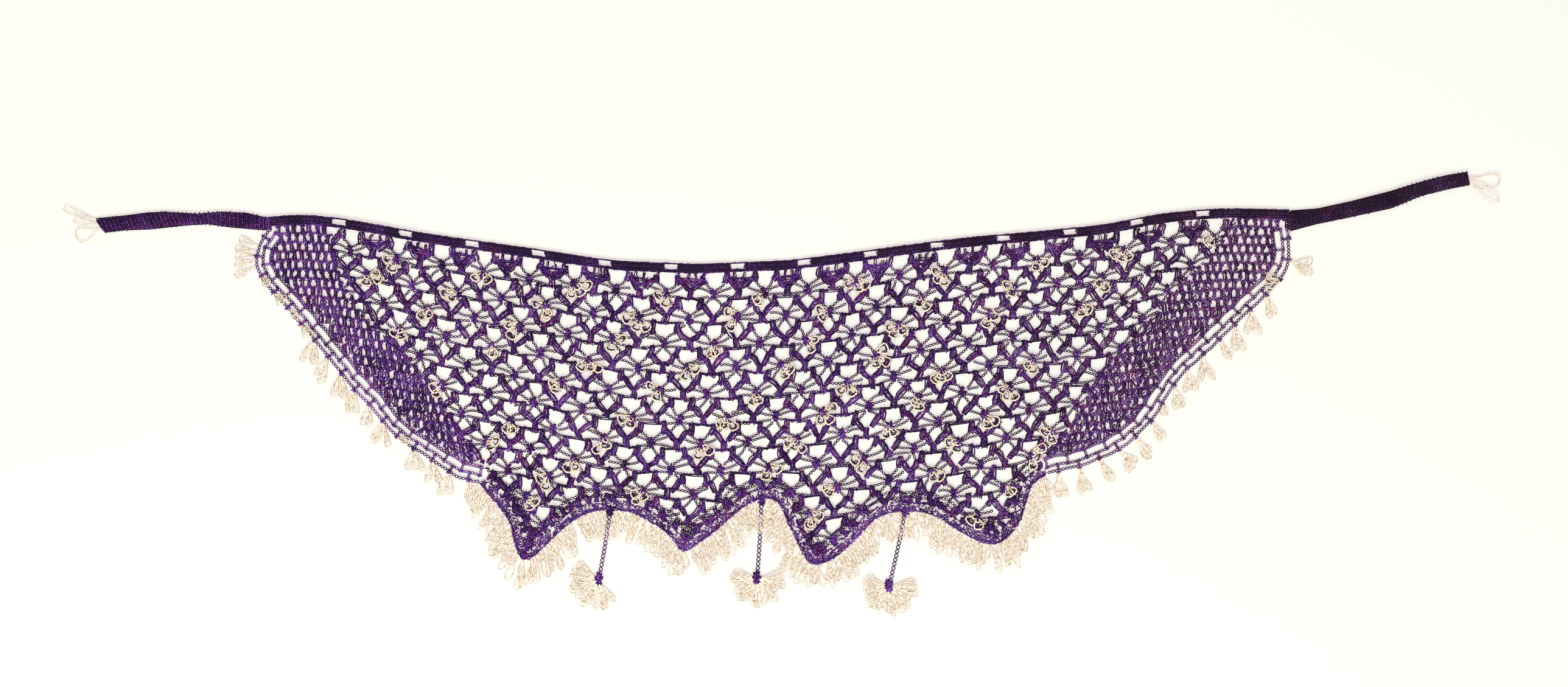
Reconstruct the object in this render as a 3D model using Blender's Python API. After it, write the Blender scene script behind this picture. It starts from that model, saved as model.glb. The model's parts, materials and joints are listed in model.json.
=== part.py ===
"""Belly dance hip scarf laid flat: crocheted lace with two ties, a zigzag hem and bead fringe.

The scarf lies on z = 0, seen from above, with +X to the right and +Y towards the waist.
Tables and lengths are in millimetres from the middle of the scarf; plate() makes them metres.
"""
import math

import bpy

MM = 0.001
SEAM = 0.3
MITRE_LIMIT = 0.5
PARALLEL = 1e-9

# Thickness of each kind of crochet, and the gap under the beads.
LACE_THICK = 2.0
NET_THICK = 2.4
BAND_THICK = 3.0
BEAD_THICK = 2.0
BEAD_LIFT = 0.4

BAND_DEPTH = 9.4
WAIST_STEP = 20.0
LADDER_WIDTH = 15.6
BORDER_WIDTH = 9.4

# Upper edge of the waistband, left to right: x, y.
WAIST = [
    (-493, 171), (-462, 173), (-434, 171), (-400, 166), (-356, 158), (-311, 151),
    (-246, 142), (-165, 130), (-109, 127), (-76, 126), (-30, 128), (11, 130),
    (69, 137), (128, 145), (186, 152), (243, 157), (310, 164), (359, 173),
    (392, 177), (424, 179), (457, 179), (490, 178),
]

# Cross sections of each tie, outwards from the waistband: x and y on the upper edge, then lower.
TIE_LEFT = [
    (-493.3, 171, -493.3, 157.5), (-514, 176, -508, 158), (-538, 177, -530, 160),
    (-561, 175, -551, 163), (-575, 176, -569, 162), (-593, 177, -588, 160),
    (-610, 176, -606, 158), (-633, 173, -632, 157), (-659, 170, -650, 155),
]
TIE_RIGHT = [
    (490.3, 178, 490.3, 156.5), (516, 180, 516, 163), (548, 187, 545, 169),
    (587, 197, 587, 178), (620, 207, 616, 190), (640, 212, 640, 196),
    (660, 215, 663, 201),
]

# Side edges and hem, round the scarf from the left corner to the right one: x, y.
LEFT_EDGE = [
    (-490, 160), (-495, 154.5), (-502, 143), (-504, 126), (-497, 109), (-481, 91),
    (-468, 76), (-456, 61), (-440, 42), (-426, 25), (-413, 8), (-399, -6),
    (-387, -20), (-375, -35), (-361, -47), (-346, -56), (-328, -68), (-310, -79),
    (-290, -84),
]
HEM = [
    (-289, -85), (-282, -94), (-270, -108), (-260, -123), (-256, -140), (-250, -156),
    (-240, -157), (-227, -146), (-215, -134), (-202, -123), (-188, -115), (-174, -111),
    (-158, -111), (-143, -113), (-131, -119), (-117, -127), (-104, -138), (-96, -149),
    (-88, -149), (-78, -142), (-65, -133), (-51, -121), (-37, -109), (-24, -102),
    (-11, -99.5), (0, -106), (6, -120), (13, -135), (20, -149), (29, -162),
    (40, -162), (53, -156), (67, -144), (80, -131), (92, -119), (107, -113),
    (122, -112), (138, -113), (154, -119), (169, -129), (187, -139), (199, -143),
    (211, -142), (222, -133), (231, -120), (236, -104), (243, -86), (257, -76.6),
]
RIGHT_EDGE = [
    (257.6, -76.3), (272, -73), (289, -69), (306, -62), (324, -54), (340, -42),
    (353, -30), (366, -11), (378, 8), (389, 22), (403, 35), (417, 48), (432, 62),
    (448, 77), (463, 92), (476, 104), (484, 116), (489.5, 130), (489.5, 145),
    (488.5, 154), (487, 160.5),
]

# Seams between the lace and the two side nets, downwards from the waistband: x, y.
LEFT_SEAM = [
    (-434, 162), (-424, 113), (-410, 91), (-397, 69), (-370, 46), (-341, 16),
    (-318, -21), (-297, -58), (-283, -67),
]
RIGHT_SEAM = [
    (438, 169.6), (415, 134), (386, 107), (361, 77), (340, 54), (322, 37), (302, 11),
    (292, -4), (281, -25), (267, -47), (251, -60),
]
BORDER_START = (-282.4, -72.5)
BORDER_END = (251.5, -63.5)

# Columns of the lace: number, then x in each of three rows.
COLUMN_ROWS = (1, 4, 9)
COLUMNS = [
    (-9, -455, -474, -480), (-8, -413, -430, -434), (-7, -368, -387, -390),
    (-6, -327, -346, -350), (-5, -285, -299, -309), (-4, -242, -255, -262),
    (-3, -199, -208, -223), (-2, -158, -162, -176), (-1, -110, -113, -132),
    (0, -64, -66, -84), (1, -16, -20, -38), (2, 27, 23, 9), (3, 71, 67, 55),
    (4, 114, 113, 103), (5, 158, 158, 146), (6, 204, 202, 193), (7, 246, 244, 239),
    (8, 287, 287, 280), (9, 332, 328, 324), (10, 375, 370, 366), (11, 417, 412, 408),
    (12, 456, 451, 447),
]
LACE_ROWS = 11
ROW_DROP = 24.3
FIRST_DROP = 17.0
ROW_TAPER = 0.06
TAPER_MIDDLE = 10
TAPER_HALF_SPAN = 350

# Gaps of one lace repeat, about the middle of its big gap: x, y.
BIG_GAP = [(-5.3, 5.6), (-7, -0.6), (-2.6, -6), (2.6, -6), (7, -0.6), (5.3, 5.6)]
LOW_GAP = [(0, 6.5), (-4.4, -1.4), (0, -6.6), (4.4, -1.4)]
LOW_GAP_DROP = 24.0
GAP_RIM = 1.5
LAST_BIG_GAP_ROW = 10

EYELET_FIRST_X = -424.5
EYELET_PITCH = 63.9
EYELET_COUNT = 14
EYELET_LENGTH = 12.6
EYELET_HEIGHT = 4.2
EYELET_DROP = 6.0

LADDER_CELLS = 17
LADDER_BAR = 3.0
LADDER_REACH = 8.0
POINT_REACH = 0.5
LADDER_OUTER_ROW = (1.9, 5.6)
LADDER_INNER_ROW = (7.5, 14.2)

# Bead loops: strip along the edge, root, and the size of the drop-shaped loop.
STRIP_WIDTH = 1.5
STRIP_RUN_OUT = 3.2
ROOT_HALF = 1.3
LOOP_WALL = 1.9
LOOP_WIDEST = 0.66
LOOP_GAP = 0.9
LOOP_REACH = 4.0
HEM_LOOP_WIDTH = 7.0
HEM_LOOP_LENGTHS = (29.0, 26.0, 22.0, 18.0)
HEM_DOWNWARD = 0.4
HEM_REACH = 14.0
NEAR = 70.0
HEM_CORNERS = [0, 5.5, 12, 17.5, 24, 29.5, 36, 41.5, 47]
HEM_END_GAP = 5.0
HEM_STEP = 0.5

# Groups of bead loops on the side edges: shift along the edge, lean in degrees, length.
SIDE_LOOP_WIDTH = 6.4
SIDE_DOWNWARD = 0.6
SIDE_GROUP = [(-2.0, -9, 25.0), (2.0, 9, 22.0)]
LEFT_CORNER_GROUP = [(-9.0, -12, 22.0), (-3.2, -3, 23.0), (2.6, 6, 23.0), (8.4, 16, 26.0)]
RIGHT_CORNER_GROUP = [(-2.0, -34, 25.0), (2.0, -18, 27.0)]
LEFT_CORNER_CELL = 1
RIGHT_CORNER_CELL = 15
LEFT_GROUP_CELLS = range(6, 16)
RIGHT_GROUP_CELLS = range(1, 14)

# Tassels: name, x and y of the hem end of the cord, head x, y, first and last loop angle
# clockwise from straight down, number of loops, loop length.
TASSELS = [
    ("1", -163.5, -111.6, -174.5, -178.0, -22, 128, 7, 28.0),
    ("2", -18.0, -101.5, -22.5, -177.0, -92, 108, 8, 25.5),
    ("3", 120.0, -112.4, 104.5, -185.0, -104, 104, 8, 26.0),
]
CORD_WIDTH = 4.6
CORD_THICK = 3.0
CORD_HEM_GAP = 0.5
HEAD_RADIUS = 4.6
HEAD_SIDES = 16
TASSEL_LOOP_WIDTH = 7.6
TASSEL_ROOT_HALF = 0.75

# Bead loops on the tie ends: end of the tie (upper x, y, lower x, y), then each loop's tip.
TIE_LOOPS = {
    "left": ((-659, 170, -650, 155), [(-694.4, 172), (-685, 147)]),
    "right": ((660, 215, 663, 201), [(694.4, 205.5), (691.5, 185)]),
}
TIE_LOOP_WIDTHS = (8.0, 11.0)
TIE_LOOP_PLACES = (0.25, 0.75)
TIE_LOOP_OVERLAP = 0.85

YARN = (0.085, 0.022, 0.21)
YARN_DARK = (0.05, 0.014, 0.14)
BEAD = (0.82, 0.74, 0.6)
YARN_ROUGHNESS = 0.85
BEAD_ROUGHNESS = 0.25


def clear_scene():
    for obj in list(bpy.data.objects):
        bpy.data.objects.remove(obj, do_unlink=True)


def make_collection(name):
    collection = bpy.data.collections.new(name)
    bpy.context.scene.collection.children.link(collection)
    return collection


def make_material(name, colour, roughness):
    material = bpy.data.materials.new(name)
    material.use_nodes = True
    shader = material.node_tree.nodes["Principled BSDF"]
    shader.inputs["Base Color"].default_value = (*colour, 1.0)
    shader.inputs["Roughness"].default_value = roughness
    shader.inputs["Metallic"].default_value = 0.0
    return material


def plate(collection, name, outline, gaps, bottom, thickness, colour, roughness=YARN_ROUGHNESS):
    """A flat piece of even thickness with its outline and the gaps cut through it."""
    curve = bpy.data.curves.new(name, "CURVE")
    curve.dimensions = "2D"
    curve.fill_mode = "BOTH"
    curve.extrude = thickness / 2 * MM
    for ring in [outline, *gaps]:
        spline = curve.splines.new("POLY")
        spline.points.add(len(ring) - 1)
        for point, (x, y) in zip(spline.points, ring):
            point.co = (x * MM, y * MM, 0.0, 1.0)
        spline.use_cyclic_u = True
    obj = bpy.data.objects.new(name, curve)
    obj.location = (0.0, 0.0, (bottom + thickness / 2) * MM)
    obj.data.materials.append(make_material(name, colour, roughness))
    collection.objects.link(obj)
    return obj


def hermite(table, x):
    """Height of the smooth curve through a table of x, y rows sorted by x."""
    last = len(table) - 1
    right = next((i for i in range(1, last) if table[i][0] >= x), last)
    left = right - 1
    before = table[max(left - 1, 0)]
    after = table[min(right + 1, last)]
    (x0, y0), (x1, y1) = table[left], table[right]
    span = x1 - x0
    slope0 = (y1 - before[1]) / (x1 - before[0])
    slope1 = (after[1] - y0) / (after[0] - x0)
    t = (x - x0) / span
    return (
        (2 * t ** 3 - 3 * t ** 2 + 1) * y0
        + (t ** 3 - 2 * t ** 2 + t) * span * slope0
        + (3 * t ** 2 - 2 * t ** 3) * y1
        + (t ** 3 - t ** 2) * span * slope1
    )


def waist_y(x):
    return hermite(WAIST, x)


def waist_points(x_from, x_to, drop):
    """Points a fixed drop under the waist edge, between two x, at even stations."""
    low, high = min(x_from, x_to), max(x_from, x_to)
    first = math.ceil((low + 1) / WAIST_STEP)
    last = math.floor((high - 1) / WAIST_STEP)
    xs = [low, *(i * WAIST_STEP for i in range(first, last + 1)), high]
    if x_to < x_from:
        xs.reverse()
    return [(x, waist_y(x) - drop) for x in xs]


def unit(dx, dy):
    size = math.hypot(dx, dy)
    return dx / size, dy / size


def offset(path, distance):
    """The open path moved to its left by a distance, with mitred corners."""
    normals = []
    for (x0, y0), (x1, y1) in zip(path, path[1:]):
        dx, dy = unit(x1 - x0, y1 - y0)
        normals.append((-dy, dx))
    moved = []
    for i, (x, y) in enumerate(path):
        n0 = normals[max(i - 1, 0)]
        n1 = normals[min(i, len(normals) - 1)]
        mx, my = unit(n0[0] + n1[0], n0[1] + n1[1])
        reach = distance / max(mx * n0[0] + my * n0[1], MITRE_LIMIT)
        moved.append((x + mx * reach, y + my * reach))
    return moved


def crossing(a, b, c, d):
    """Where the segments ab and cd cross, if they do."""
    rx, ry = b[0] - a[0], b[1] - a[1]
    sx, sy = d[0] - c[0], d[1] - c[1]
    turn = rx * sy - ry * sx
    if abs(turn) < PARALLEL:
        return None
    t = ((c[0] - a[0]) * sy - (c[1] - a[1]) * sx) / turn
    u = ((c[0] - a[0]) * ry - (c[1] - a[1]) * rx) / turn
    if 0 < t < 1 and 0 < u < 1:
        return a[0] + rx * t, a[1] + ry * t
    return None


def without_knots(path):
    """The path with each small loop that an offset ties at a sharp corner cut out."""
    i = 0
    while i < len(path) - 3:
        for j in range(len(path) - 2, i + 1, -1):
            where = crossing(path[i], path[i + 1], path[j], path[j + 1])
            if where:
                path = path[:i + 1] + [where] + path[j + 1:]
                break
        i += 1
    return path


def path_length(path):
    return sum(math.dist(a, b) for a, b in zip(path, path[1:]))


def along(path, distance):
    """The point at a distance from the path's start, with straight run-outs at its ends."""
    left = distance
    for i, (a, b) in enumerate(zip(path, path[1:])):
        step = math.dist(a, b)
        if left <= step or i == len(path) - 2:
            return (a[0] + (b[0] - a[0]) * left / step, a[1] + (b[1] - a[1]) * left / step)
        left -= step
    return path[-1]


def beside(path, distance, out, reach=POINT_REACH):
    """The point along the path moved to its left, and the left-hand normal there."""
    a = along(path, distance - reach)
    b = along(path, distance + reach)
    dx, dy = unit(b[0] - a[0], b[1] - a[1])
    x, y = along(path, distance)
    return (x - dy * out, y + dx * out), (-dy, dx)


def inside(point, ring):
    x, y = point
    found = False
    for (x0, y0), (x1, y1) in zip(ring, ring[1:] + ring[:1]):
        if (y0 > y) != (y1 > y) and x < x0 + (y - y0) / (y1 - y0) * (x1 - x0):
            found = not found
    return found


def edge_distance(point, ring):
    x, y = point
    nearest = math.inf
    for (x0, y0), (x1, y1) in zip(ring, ring[1:] + ring[:1]):
        dx, dy = x1 - x0, y1 - y0
        t = ((x - x0) * dx + (y - y0) * dy) / (dx * dx + dy * dy)
        t = min(max(t, 0.0), 1.0)
        nearest = min(nearest, math.hypot(x - x0 - t * dx, y - y0 - t * dy))
    return nearest


def fits(gap, outline):
    return all(inside(p, outline) and edge_distance(p, outline) > GAP_RIM for p in gap)


def column_x(number, row):
    """x of a lace column, whole or half way between two, in a row."""
    def whole(n):
        _, top, middle, low = next(c for c in COLUMNS if c[0] == n)
        first, second, third = COLUMN_ROWS
        if row <= second:
            return top + (middle - top) * (row - first) / (second - first)
        return middle + (low - middle) * (row - second) / (third - second)

    low = math.floor(number)
    if low == number:
        return whole(low)
    return (whole(low) + whole(low + 1)) / 2


def gap_middle(column, row):
    """Middle of the big gap above one spider of the lace."""
    x = column_x(column, row)
    taper = 1 - ROW_TAPER * ((x - TAPER_MIDDLE) / TAPER_HALF_SPAN) ** 2
    return x, waist_y(x) - FIRST_DROP - (row - 1) * ROW_DROP * taper


def lace_sites():
    """Column and row of every repeat; even rows lie half a column to the right."""
    first, last = COLUMNS[0][0], COLUMNS[-1][0]
    for row in range(1, LACE_ROWS + 1):
        shift = 0.0 if row % 2 else 0.5
        for number in range(first, last):
            yield number + shift, row


def moved(ring, x, y):
    return [(x + px, y + py) for px, py in ring]


def border_inner(extra):
    """The inner edge of the hem border, moved a little further in."""
    inner = without_knots(offset(HEM, BORDER_WIDTH + extra))
    inner[0] = (BORDER_START[0] + extra, BORDER_START[1] + extra)
    inner[-1] = (BORDER_END[0] - extra, BORDER_END[1] + extra)
    return inner


def build_waistband(collection):
    left, right = WAIST[0][0], WAIST[-1][0]
    top = waist_points(left, right, 0.0)
    bottom = waist_points(right, left, BAND_DEPTH)
    gaps = []
    for i in range(EYELET_COUNT):
        x = EYELET_FIRST_X + i * EYELET_PITCH
        ends = (x - EYELET_LENGTH / 2, x + EYELET_LENGTH / 2)
        low = [(end, waist_y(end) - EYELET_DROP) for end in ends]
        gaps.append(low + [(px, py + EYELET_HEIGHT) for px, py in reversed(low)])
    plate(collection, "waistband", top + bottom, gaps, 0.0, BAND_THICK, YARN_DARK)


def build_tie(collection, name, sections):
    upper = [(s[0], s[1]) for s in sections]
    lower = [(s[2], s[3]) for s in reversed(sections)]
    plate(collection, name, upper + lower, [], 0.0, BAND_THICK, YARN_DARK)


def lace_outline():
    left = offset(LEFT_SEAM, SEAM / 2)
    right = offset(RIGHT_SEAM, -SEAM / 2)
    drop = BAND_DEPTH + SEAM
    left[0] = (left[0][0], waist_y(left[0][0]) - drop)
    right[0] = (right[0][0], waist_y(right[0][0]) - drop)
    top = waist_points(right[0][0], left[0][0], drop)
    return left + border_inner(SEAM) + right[::-1] + top[1:-1]


def build_lace(collection):
    outline = lace_outline()
    big = []
    low = []
    for column, row in lace_sites():
        x, y = gap_middle(column, row)
        ring = moved(BIG_GAP, x, y)
        if fits(ring, outline):
            big.append(ring)
        ring = moved(LOW_GAP, x, y - LOW_GAP_DROP)
        if math.floor(column) % 2 == 0 and row <= LAST_BIG_GAP_ROW and fits(ring, outline):
            low.append(ring)
    plate(collection, "lace_body", outline, big + low, 0.0, LACE_THICK, YARN)


def build_net(collection, name, edge, seam):
    """A side net: the edge path runs down to its tip, and the seam comes back up."""
    drop = BAND_DEPTH + SEAM
    seam = [(seam[0][0], waist_y(seam[0][0]) - drop), *seam[1:]]
    top = waist_points(seam[0][0], edge[0][0], drop)
    plate(collection, name, edge + seam[::-1] + top[1:-1], [], 0.0, NET_THICK, YARN_DARK)


def ladder_gaps(edge):
    pitch = path_length(edge) / LADDER_CELLS
    gaps = []
    for inner, (near, far) in ((False, LADDER_OUTER_ROW), (True, LADDER_INNER_ROW)):
        for i in range(LADDER_CELLS if inner else LADDER_CELLS - 1):
            start = (i if inner else i + 0.5) * pitch + LADDER_BAR / 2
            stop = start + pitch - LADDER_BAR
            gaps.append([
                beside(edge, start, near, LADDER_REACH)[0],
                beside(edge, stop, near, LADDER_REACH)[0],
                beside(edge, stop, far, LADDER_REACH)[0],
                beside(edge, start, far, LADDER_REACH)[0],
            ])
    return gaps


def build_ladder(collection, name, edge):
    outline = edge + offset(edge, LADDER_WIDTH)[::-1]
    plate(collection, name, outline, ladder_gaps(edge), 0.0, LACE_THICK, YARN)


def build_border(collection):
    plate(collection, "hem_border", HEM + border_inner(0.0)[::-1], [], 0.0, BAND_THICK, YARN_DARK)


def drop_loop(root, direction, length, width, root_half):
    """Outline and gap of one drop-shaped loop of beads standing on its root."""
    rx, ry = root
    dx, dy = direction

    def at(forward, sideways):
        return rx + dx * forward - dy * sideways, ry + dy * forward + dx * sideways

    half = width / 2
    widest = length * LOOP_WIDEST
    outline = [
        at(0, -root_half), at(widest, -half), at(length, -half / 2),
        at(length, half / 2), at(widest, half), at(0, root_half),
    ]
    hole = half - LOOP_WALL
    gap = [at(widest / 2, 0), at(widest, -hole), at(length - LOOP_WALL, 0), at(widest, hole)]
    return outline, gap


def stretch(path, start, stop):
    """The part of a path between two distances along it, as its distances and points."""
    distances = [start]
    points = [along(path, start)]
    distance = 0.0
    for a, b in zip(path, path[1:]):
        distance += math.dist(a, b)
        if start < distance < stop:
            distances.append(distance)
            points.append(b)
    return [*distances, stop], [*points, along(path, stop)]


def fringe_strip(collection, name, path, start, stop, loops):
    """A narrow strip outside an edge with bead loops on it.

    Each loop is its distance along the path, its direction, length and width.
    """
    distances, piece = stretch(path, start, stop)
    inner = offset(piece, -SEAM)
    outer_line = offset(piece, -SEAM - STRIP_WIDTH)
    parts = []
    for distance, point in zip(distances, outer_line):
        if all(abs(distance - loop[0]) > 2 * ROOT_HALF for loop in loops):
            parts.append((distance, [point]))
    gaps = []
    for loop in loops:
        outline, gap = loop_shape(path, loop)
        parts.append((loop[0], outline))
        gaps.append(gap)
    outer = [point for _, points in sorted(parts) for point in points]
    plate(collection, name, inner + outer[::-1], gaps, BEAD_LIFT, BEAD_THICK, BEAD, BEAD_ROUGHNESS)


def loop_shape(path, loop):
    """Outline and gap of a loop that stands on the strip along an edge."""
    distance, direction, length, width = loop
    root = beside(path, distance, -SEAM - STRIP_WIDTH, LOOP_REACH)[0]
    return drop_loop(root, direction, length, width, ROOT_HALF)


def rings_clear(one, other, gap):
    """Whether two closed outlines stand apart by at least a gap."""
    for ring, rival in ((one, other), (other, one)):
        for point in ring:
            if inside(point, rival) or edge_distance(point, rival) < gap:
                return False
    sides = list(zip(one, one[1:] + one[:1]))
    rivals = list(zip(other, other[1:] + other[:1]))
    return not any(crossing(a, b, c, d) for a, b in sides for c, d in rivals)


def hem_distance(number):
    """Distance along the hem to a point of its table, or half way between two."""
    low = math.floor(number)
    distance = path_length(HEM[:low + 1])
    if low != number:
        distance += math.dist(HEM[low], HEM[low + 1]) / 2
    return distance


def hem_loop(distance, placed):
    """The longest loop that fits at a distance along the hem, clear of what is placed."""
    _, (nx, ny) = beside(HEM, distance, 0.0, HEM_REACH)
    lean = 1 - HEM_DOWNWARD
    direction = unit(-nx * lean, -ny * lean - HEM_DOWNWARD)
    for length in HEM_LOOP_LENGTHS[len(placed) % 2:]:
        loop = (distance, direction, length, HEM_LOOP_WIDTH)
        outline = loop_shape(HEM, loop)[0]
        near = [old for old in placed if math.dist(old[0], outline[0]) < NEAR]
        if all(rings_clear(outline, old, LOOP_GAP) for old in near):
            return loop, outline
    return None


def build_hem_fringe(collection):
    placed = []
    for row in TASSELS:
        placed.append(cord_ring(row))
        placed += [ring for ring, _ in tassel_loops(row)]
    for number, (first, last) in enumerate(zip(HEM_CORNERS, HEM_CORNERS[1:]), start=1):
        loops = []
        distance = hem_distance(first) + HEM_END_GAP
        stop = hem_distance(last) - HEM_END_GAP
        while distance <= stop:
            found = hem_loop(distance, placed)
            if found:
                loops.append(found[0])
                placed.append(found[1])
            distance += HEM_STEP
        start = loops[0][0] - STRIP_RUN_OUT
        stop = loops[-1][0] + STRIP_RUN_OUT
        fringe_strip(collection, f"fringe_hem_{number}", HEM, start, stop, loops)


def turned(direction, angle):
    x, y = direction
    c, s = math.cos(angle), math.sin(angle)
    return x * c - y * s, x * s + y * c


def build_side_fringe(collection, name, edge, cells, group, downward):
    """Groups of bead loops at cells of the ladder, leaning towards straight down."""
    pitch = path_length(edge) / LADDER_CELLS
    loops = []
    for cell in cells:
        for shift, lean, length in group:
            distance = (cell + 0.5) * pitch + shift
            _, (nx, ny) = beside(edge, distance, 0.0, HEM_REACH)
            out = 1 - downward
            direction = turned(unit(-nx * out, -ny * out - downward), math.radians(lean))
            loops.append((distance, direction, length, SIDE_LOOP_WIDTH))
    start = loops[0][0] - STRIP_RUN_OUT
    stop = loops[-1][0] + STRIP_RUN_OUT
    fringe_strip(collection, name, edge, start, stop, loops)


def tassel_loops(row):
    """Outline and gap of each bead loop that fans from a tassel's head."""
    _, _, _, head_x, head_y, first, last, count, length = row
    shapes = []
    for i in range(count):
        angle = first + (last - first) * i / (count - 1)
        down = turned((0, -1), -math.radians(angle))
        root = (head_x + down[0] * HEAD_RADIUS, head_y + down[1] * HEAD_RADIUS)
        shapes.append(drop_loop(root, down, length, TASSEL_LOOP_WIDTH, TASSEL_ROOT_HALF))
    return shapes


def cord_ring(row):
    """The four corners of a tassel's cord, from the hem to just short of its head."""
    _, hem_x, hem_y, head_x, head_y, *_ = row
    dx, dy = unit(head_x - hem_x, head_y - hem_y)
    reach = math.hypot(head_x - hem_x, head_y - hem_y) - HEAD_RADIUS - SEAM
    half = CORD_WIDTH / 2
    corners = ((CORD_HEM_GAP, -half), (reach, -half), (reach, half), (CORD_HEM_GAP, half))
    return [(hem_x + dx * f - dy * side, hem_y + dy * f + dx * side) for f, side in corners]


def build_tassel(collection, row):
    name, _, _, head_x, head_y, first, last, _, _ = row
    outline = []
    gaps = []
    for ring, gap in tassel_loops(row):
        outline += ring[::-1]
        gaps.append(gap)
    spread = math.degrees(TASSEL_ROOT_HALF / HEAD_RADIUS)
    free = 360 - (last - first) - 2 * spread
    sides = int(free * HEAD_SIDES / 360)
    for i in range(1, sides):
        down = turned((0, -1), -math.radians(last + spread + free * i / sides))
        outline.append((head_x + down[0] * HEAD_RADIUS, head_y + down[1] * HEAD_RADIUS))
    plate(collection, f"tassel_{name}", outline, gaps, BEAD_LIFT, BEAD_THICK, BEAD, BEAD_ROUGHNESS)
    plate(collection, f"tassel_cord_{name}", cord_ring(row), [], 0.0, CORD_THICK, YARN)


def build_tie_loops(collection, side):
    (upper_x, upper_y, lower_x, lower_y), tips = TIE_LOOPS[side]
    sign = 1 if side == "right" else -1
    shift = SEAM * sign
    width = STRIP_WIDTH * sign
    inner = [(upper_x + shift, upper_y), (lower_x + shift, lower_y)]
    outer = [(upper_x + shift + width, upper_y)]
    gaps = []
    for t, loop_width, (tip_x, tip_y) in zip(TIE_LOOP_PLACES, TIE_LOOP_WIDTHS, tips):
        root_x = upper_x + (lower_x - upper_x) * t + shift + width * TIE_LOOP_OVERLAP
        root_y = upper_y + (lower_y - upper_y) * t
        direction = unit(tip_x - root_x, tip_y - root_y)
        length = math.hypot(tip_x - root_x, tip_y - root_y)
        ring, gap = drop_loop((root_x, root_y), direction, length, loop_width, ROOT_HALF)
        outer += ring[::-1] if side == "right" else ring
        gaps.append(gap)
    outer.append((lower_x + shift + width, lower_y))
    outline = inner + outer[::-1]
    plate(collection, f"tie_beads_{side}", outline, gaps, BEAD_LIFT, BEAD_THICK, BEAD, BEAD_ROUGHNESS)


def build():
    clear_scene()
    collection = make_collection("belly_dance_hip_scarf")
    build_waistband(collection)
    build_tie(collection, "tie_left", TIE_LEFT)
    build_tie(collection, "tie_right", TIE_RIGHT)
    build_lace(collection)
    left_net = offset([LEFT_EDGE[0], *offset(LEFT_EDGE, LADDER_WIDTH)], SEAM)
    right_inner = offset(RIGHT_EDGE, LADDER_WIDTH)[::-1]
    right_net = offset([RIGHT_EDGE[-1], *right_inner], -SEAM)
    build_net(collection, "side_net_left", left_net, offset(LEFT_SEAM, -SEAM / 2))
    build_net(collection, "side_net_right", right_net, offset(RIGHT_SEAM, SEAM / 2))
    build_ladder(collection, "ladder_left", LEFT_EDGE)
    build_ladder(collection, "ladder_right", RIGHT_EDGE)
    build_border(collection)
    build_hem_fringe(collection)
    for name, edge, cells, group, downward in (
        ("fringe_side_left", LEFT_EDGE, LEFT_GROUP_CELLS, SIDE_GROUP, SIDE_DOWNWARD),
        ("fringe_side_right", RIGHT_EDGE, RIGHT_GROUP_CELLS, SIDE_GROUP, SIDE_DOWNWARD),
        ("fringe_corner_left", LEFT_EDGE, [LEFT_CORNER_CELL], LEFT_CORNER_GROUP, 0.0),
        ("fringe_corner_right", RIGHT_EDGE, [RIGHT_CORNER_CELL], RIGHT_CORNER_GROUP, 0.0),
    ):
        build_side_fringe(collection, name, edge, cells, group, downward)
    for row in TASSELS:
        build_tassel(collection, row)
    for side in ("left", "right"):
        build_tie_loops(collection, side)


build()
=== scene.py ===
"""Looks of the belly dance hip scarf: crocheted yarn, glass seed beads, floor, light and camera.

Tables and lengths are in millimetres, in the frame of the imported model: +X right, +Y towards the
waist, +Z up. Strands.build() and core_of() make them metres. The crochet is modelled strand by
strand, as posts, chains, knots and rows of stitches, and the beads are strung on their loops.
"""
import json
import math
import random

import bpy
import numpy as np
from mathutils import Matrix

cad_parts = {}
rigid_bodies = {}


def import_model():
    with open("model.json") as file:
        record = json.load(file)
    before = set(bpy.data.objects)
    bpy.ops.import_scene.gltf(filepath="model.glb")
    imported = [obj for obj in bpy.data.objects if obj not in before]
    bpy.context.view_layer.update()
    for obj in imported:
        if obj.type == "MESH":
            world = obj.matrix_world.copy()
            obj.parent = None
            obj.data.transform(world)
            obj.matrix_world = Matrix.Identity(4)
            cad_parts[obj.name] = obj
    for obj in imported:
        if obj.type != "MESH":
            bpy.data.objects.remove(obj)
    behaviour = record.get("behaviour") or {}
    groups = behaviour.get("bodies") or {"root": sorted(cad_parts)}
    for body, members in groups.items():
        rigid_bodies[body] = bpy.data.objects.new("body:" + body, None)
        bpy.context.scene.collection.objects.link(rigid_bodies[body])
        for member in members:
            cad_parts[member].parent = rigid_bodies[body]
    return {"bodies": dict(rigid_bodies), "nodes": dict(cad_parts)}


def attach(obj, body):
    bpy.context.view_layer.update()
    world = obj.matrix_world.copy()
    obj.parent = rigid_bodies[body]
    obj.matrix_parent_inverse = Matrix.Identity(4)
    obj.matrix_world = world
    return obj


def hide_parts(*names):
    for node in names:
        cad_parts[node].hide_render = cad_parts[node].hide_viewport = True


MM = 0.001
BAND_DEPTH = 9.4
BORDER_WIDTH = 9.4
LADDER_WIDTH = 15.6

# Upper edge of the waistband, left to right: x, y.
WAIST = [
    (-493, 171), (-462, 173), (-434, 171), (-400, 166), (-356, 158), (-311, 151),
    (-246, 142), (-165, 130), (-109, 127), (-76, 126), (-30, 128), (11, 130),
    (69, 137), (128, 145), (186, 152), (243, 157), (310, 164), (359, 173),
    (392, 177), (424, 179), (457, 179), (490, 178),
]

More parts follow.
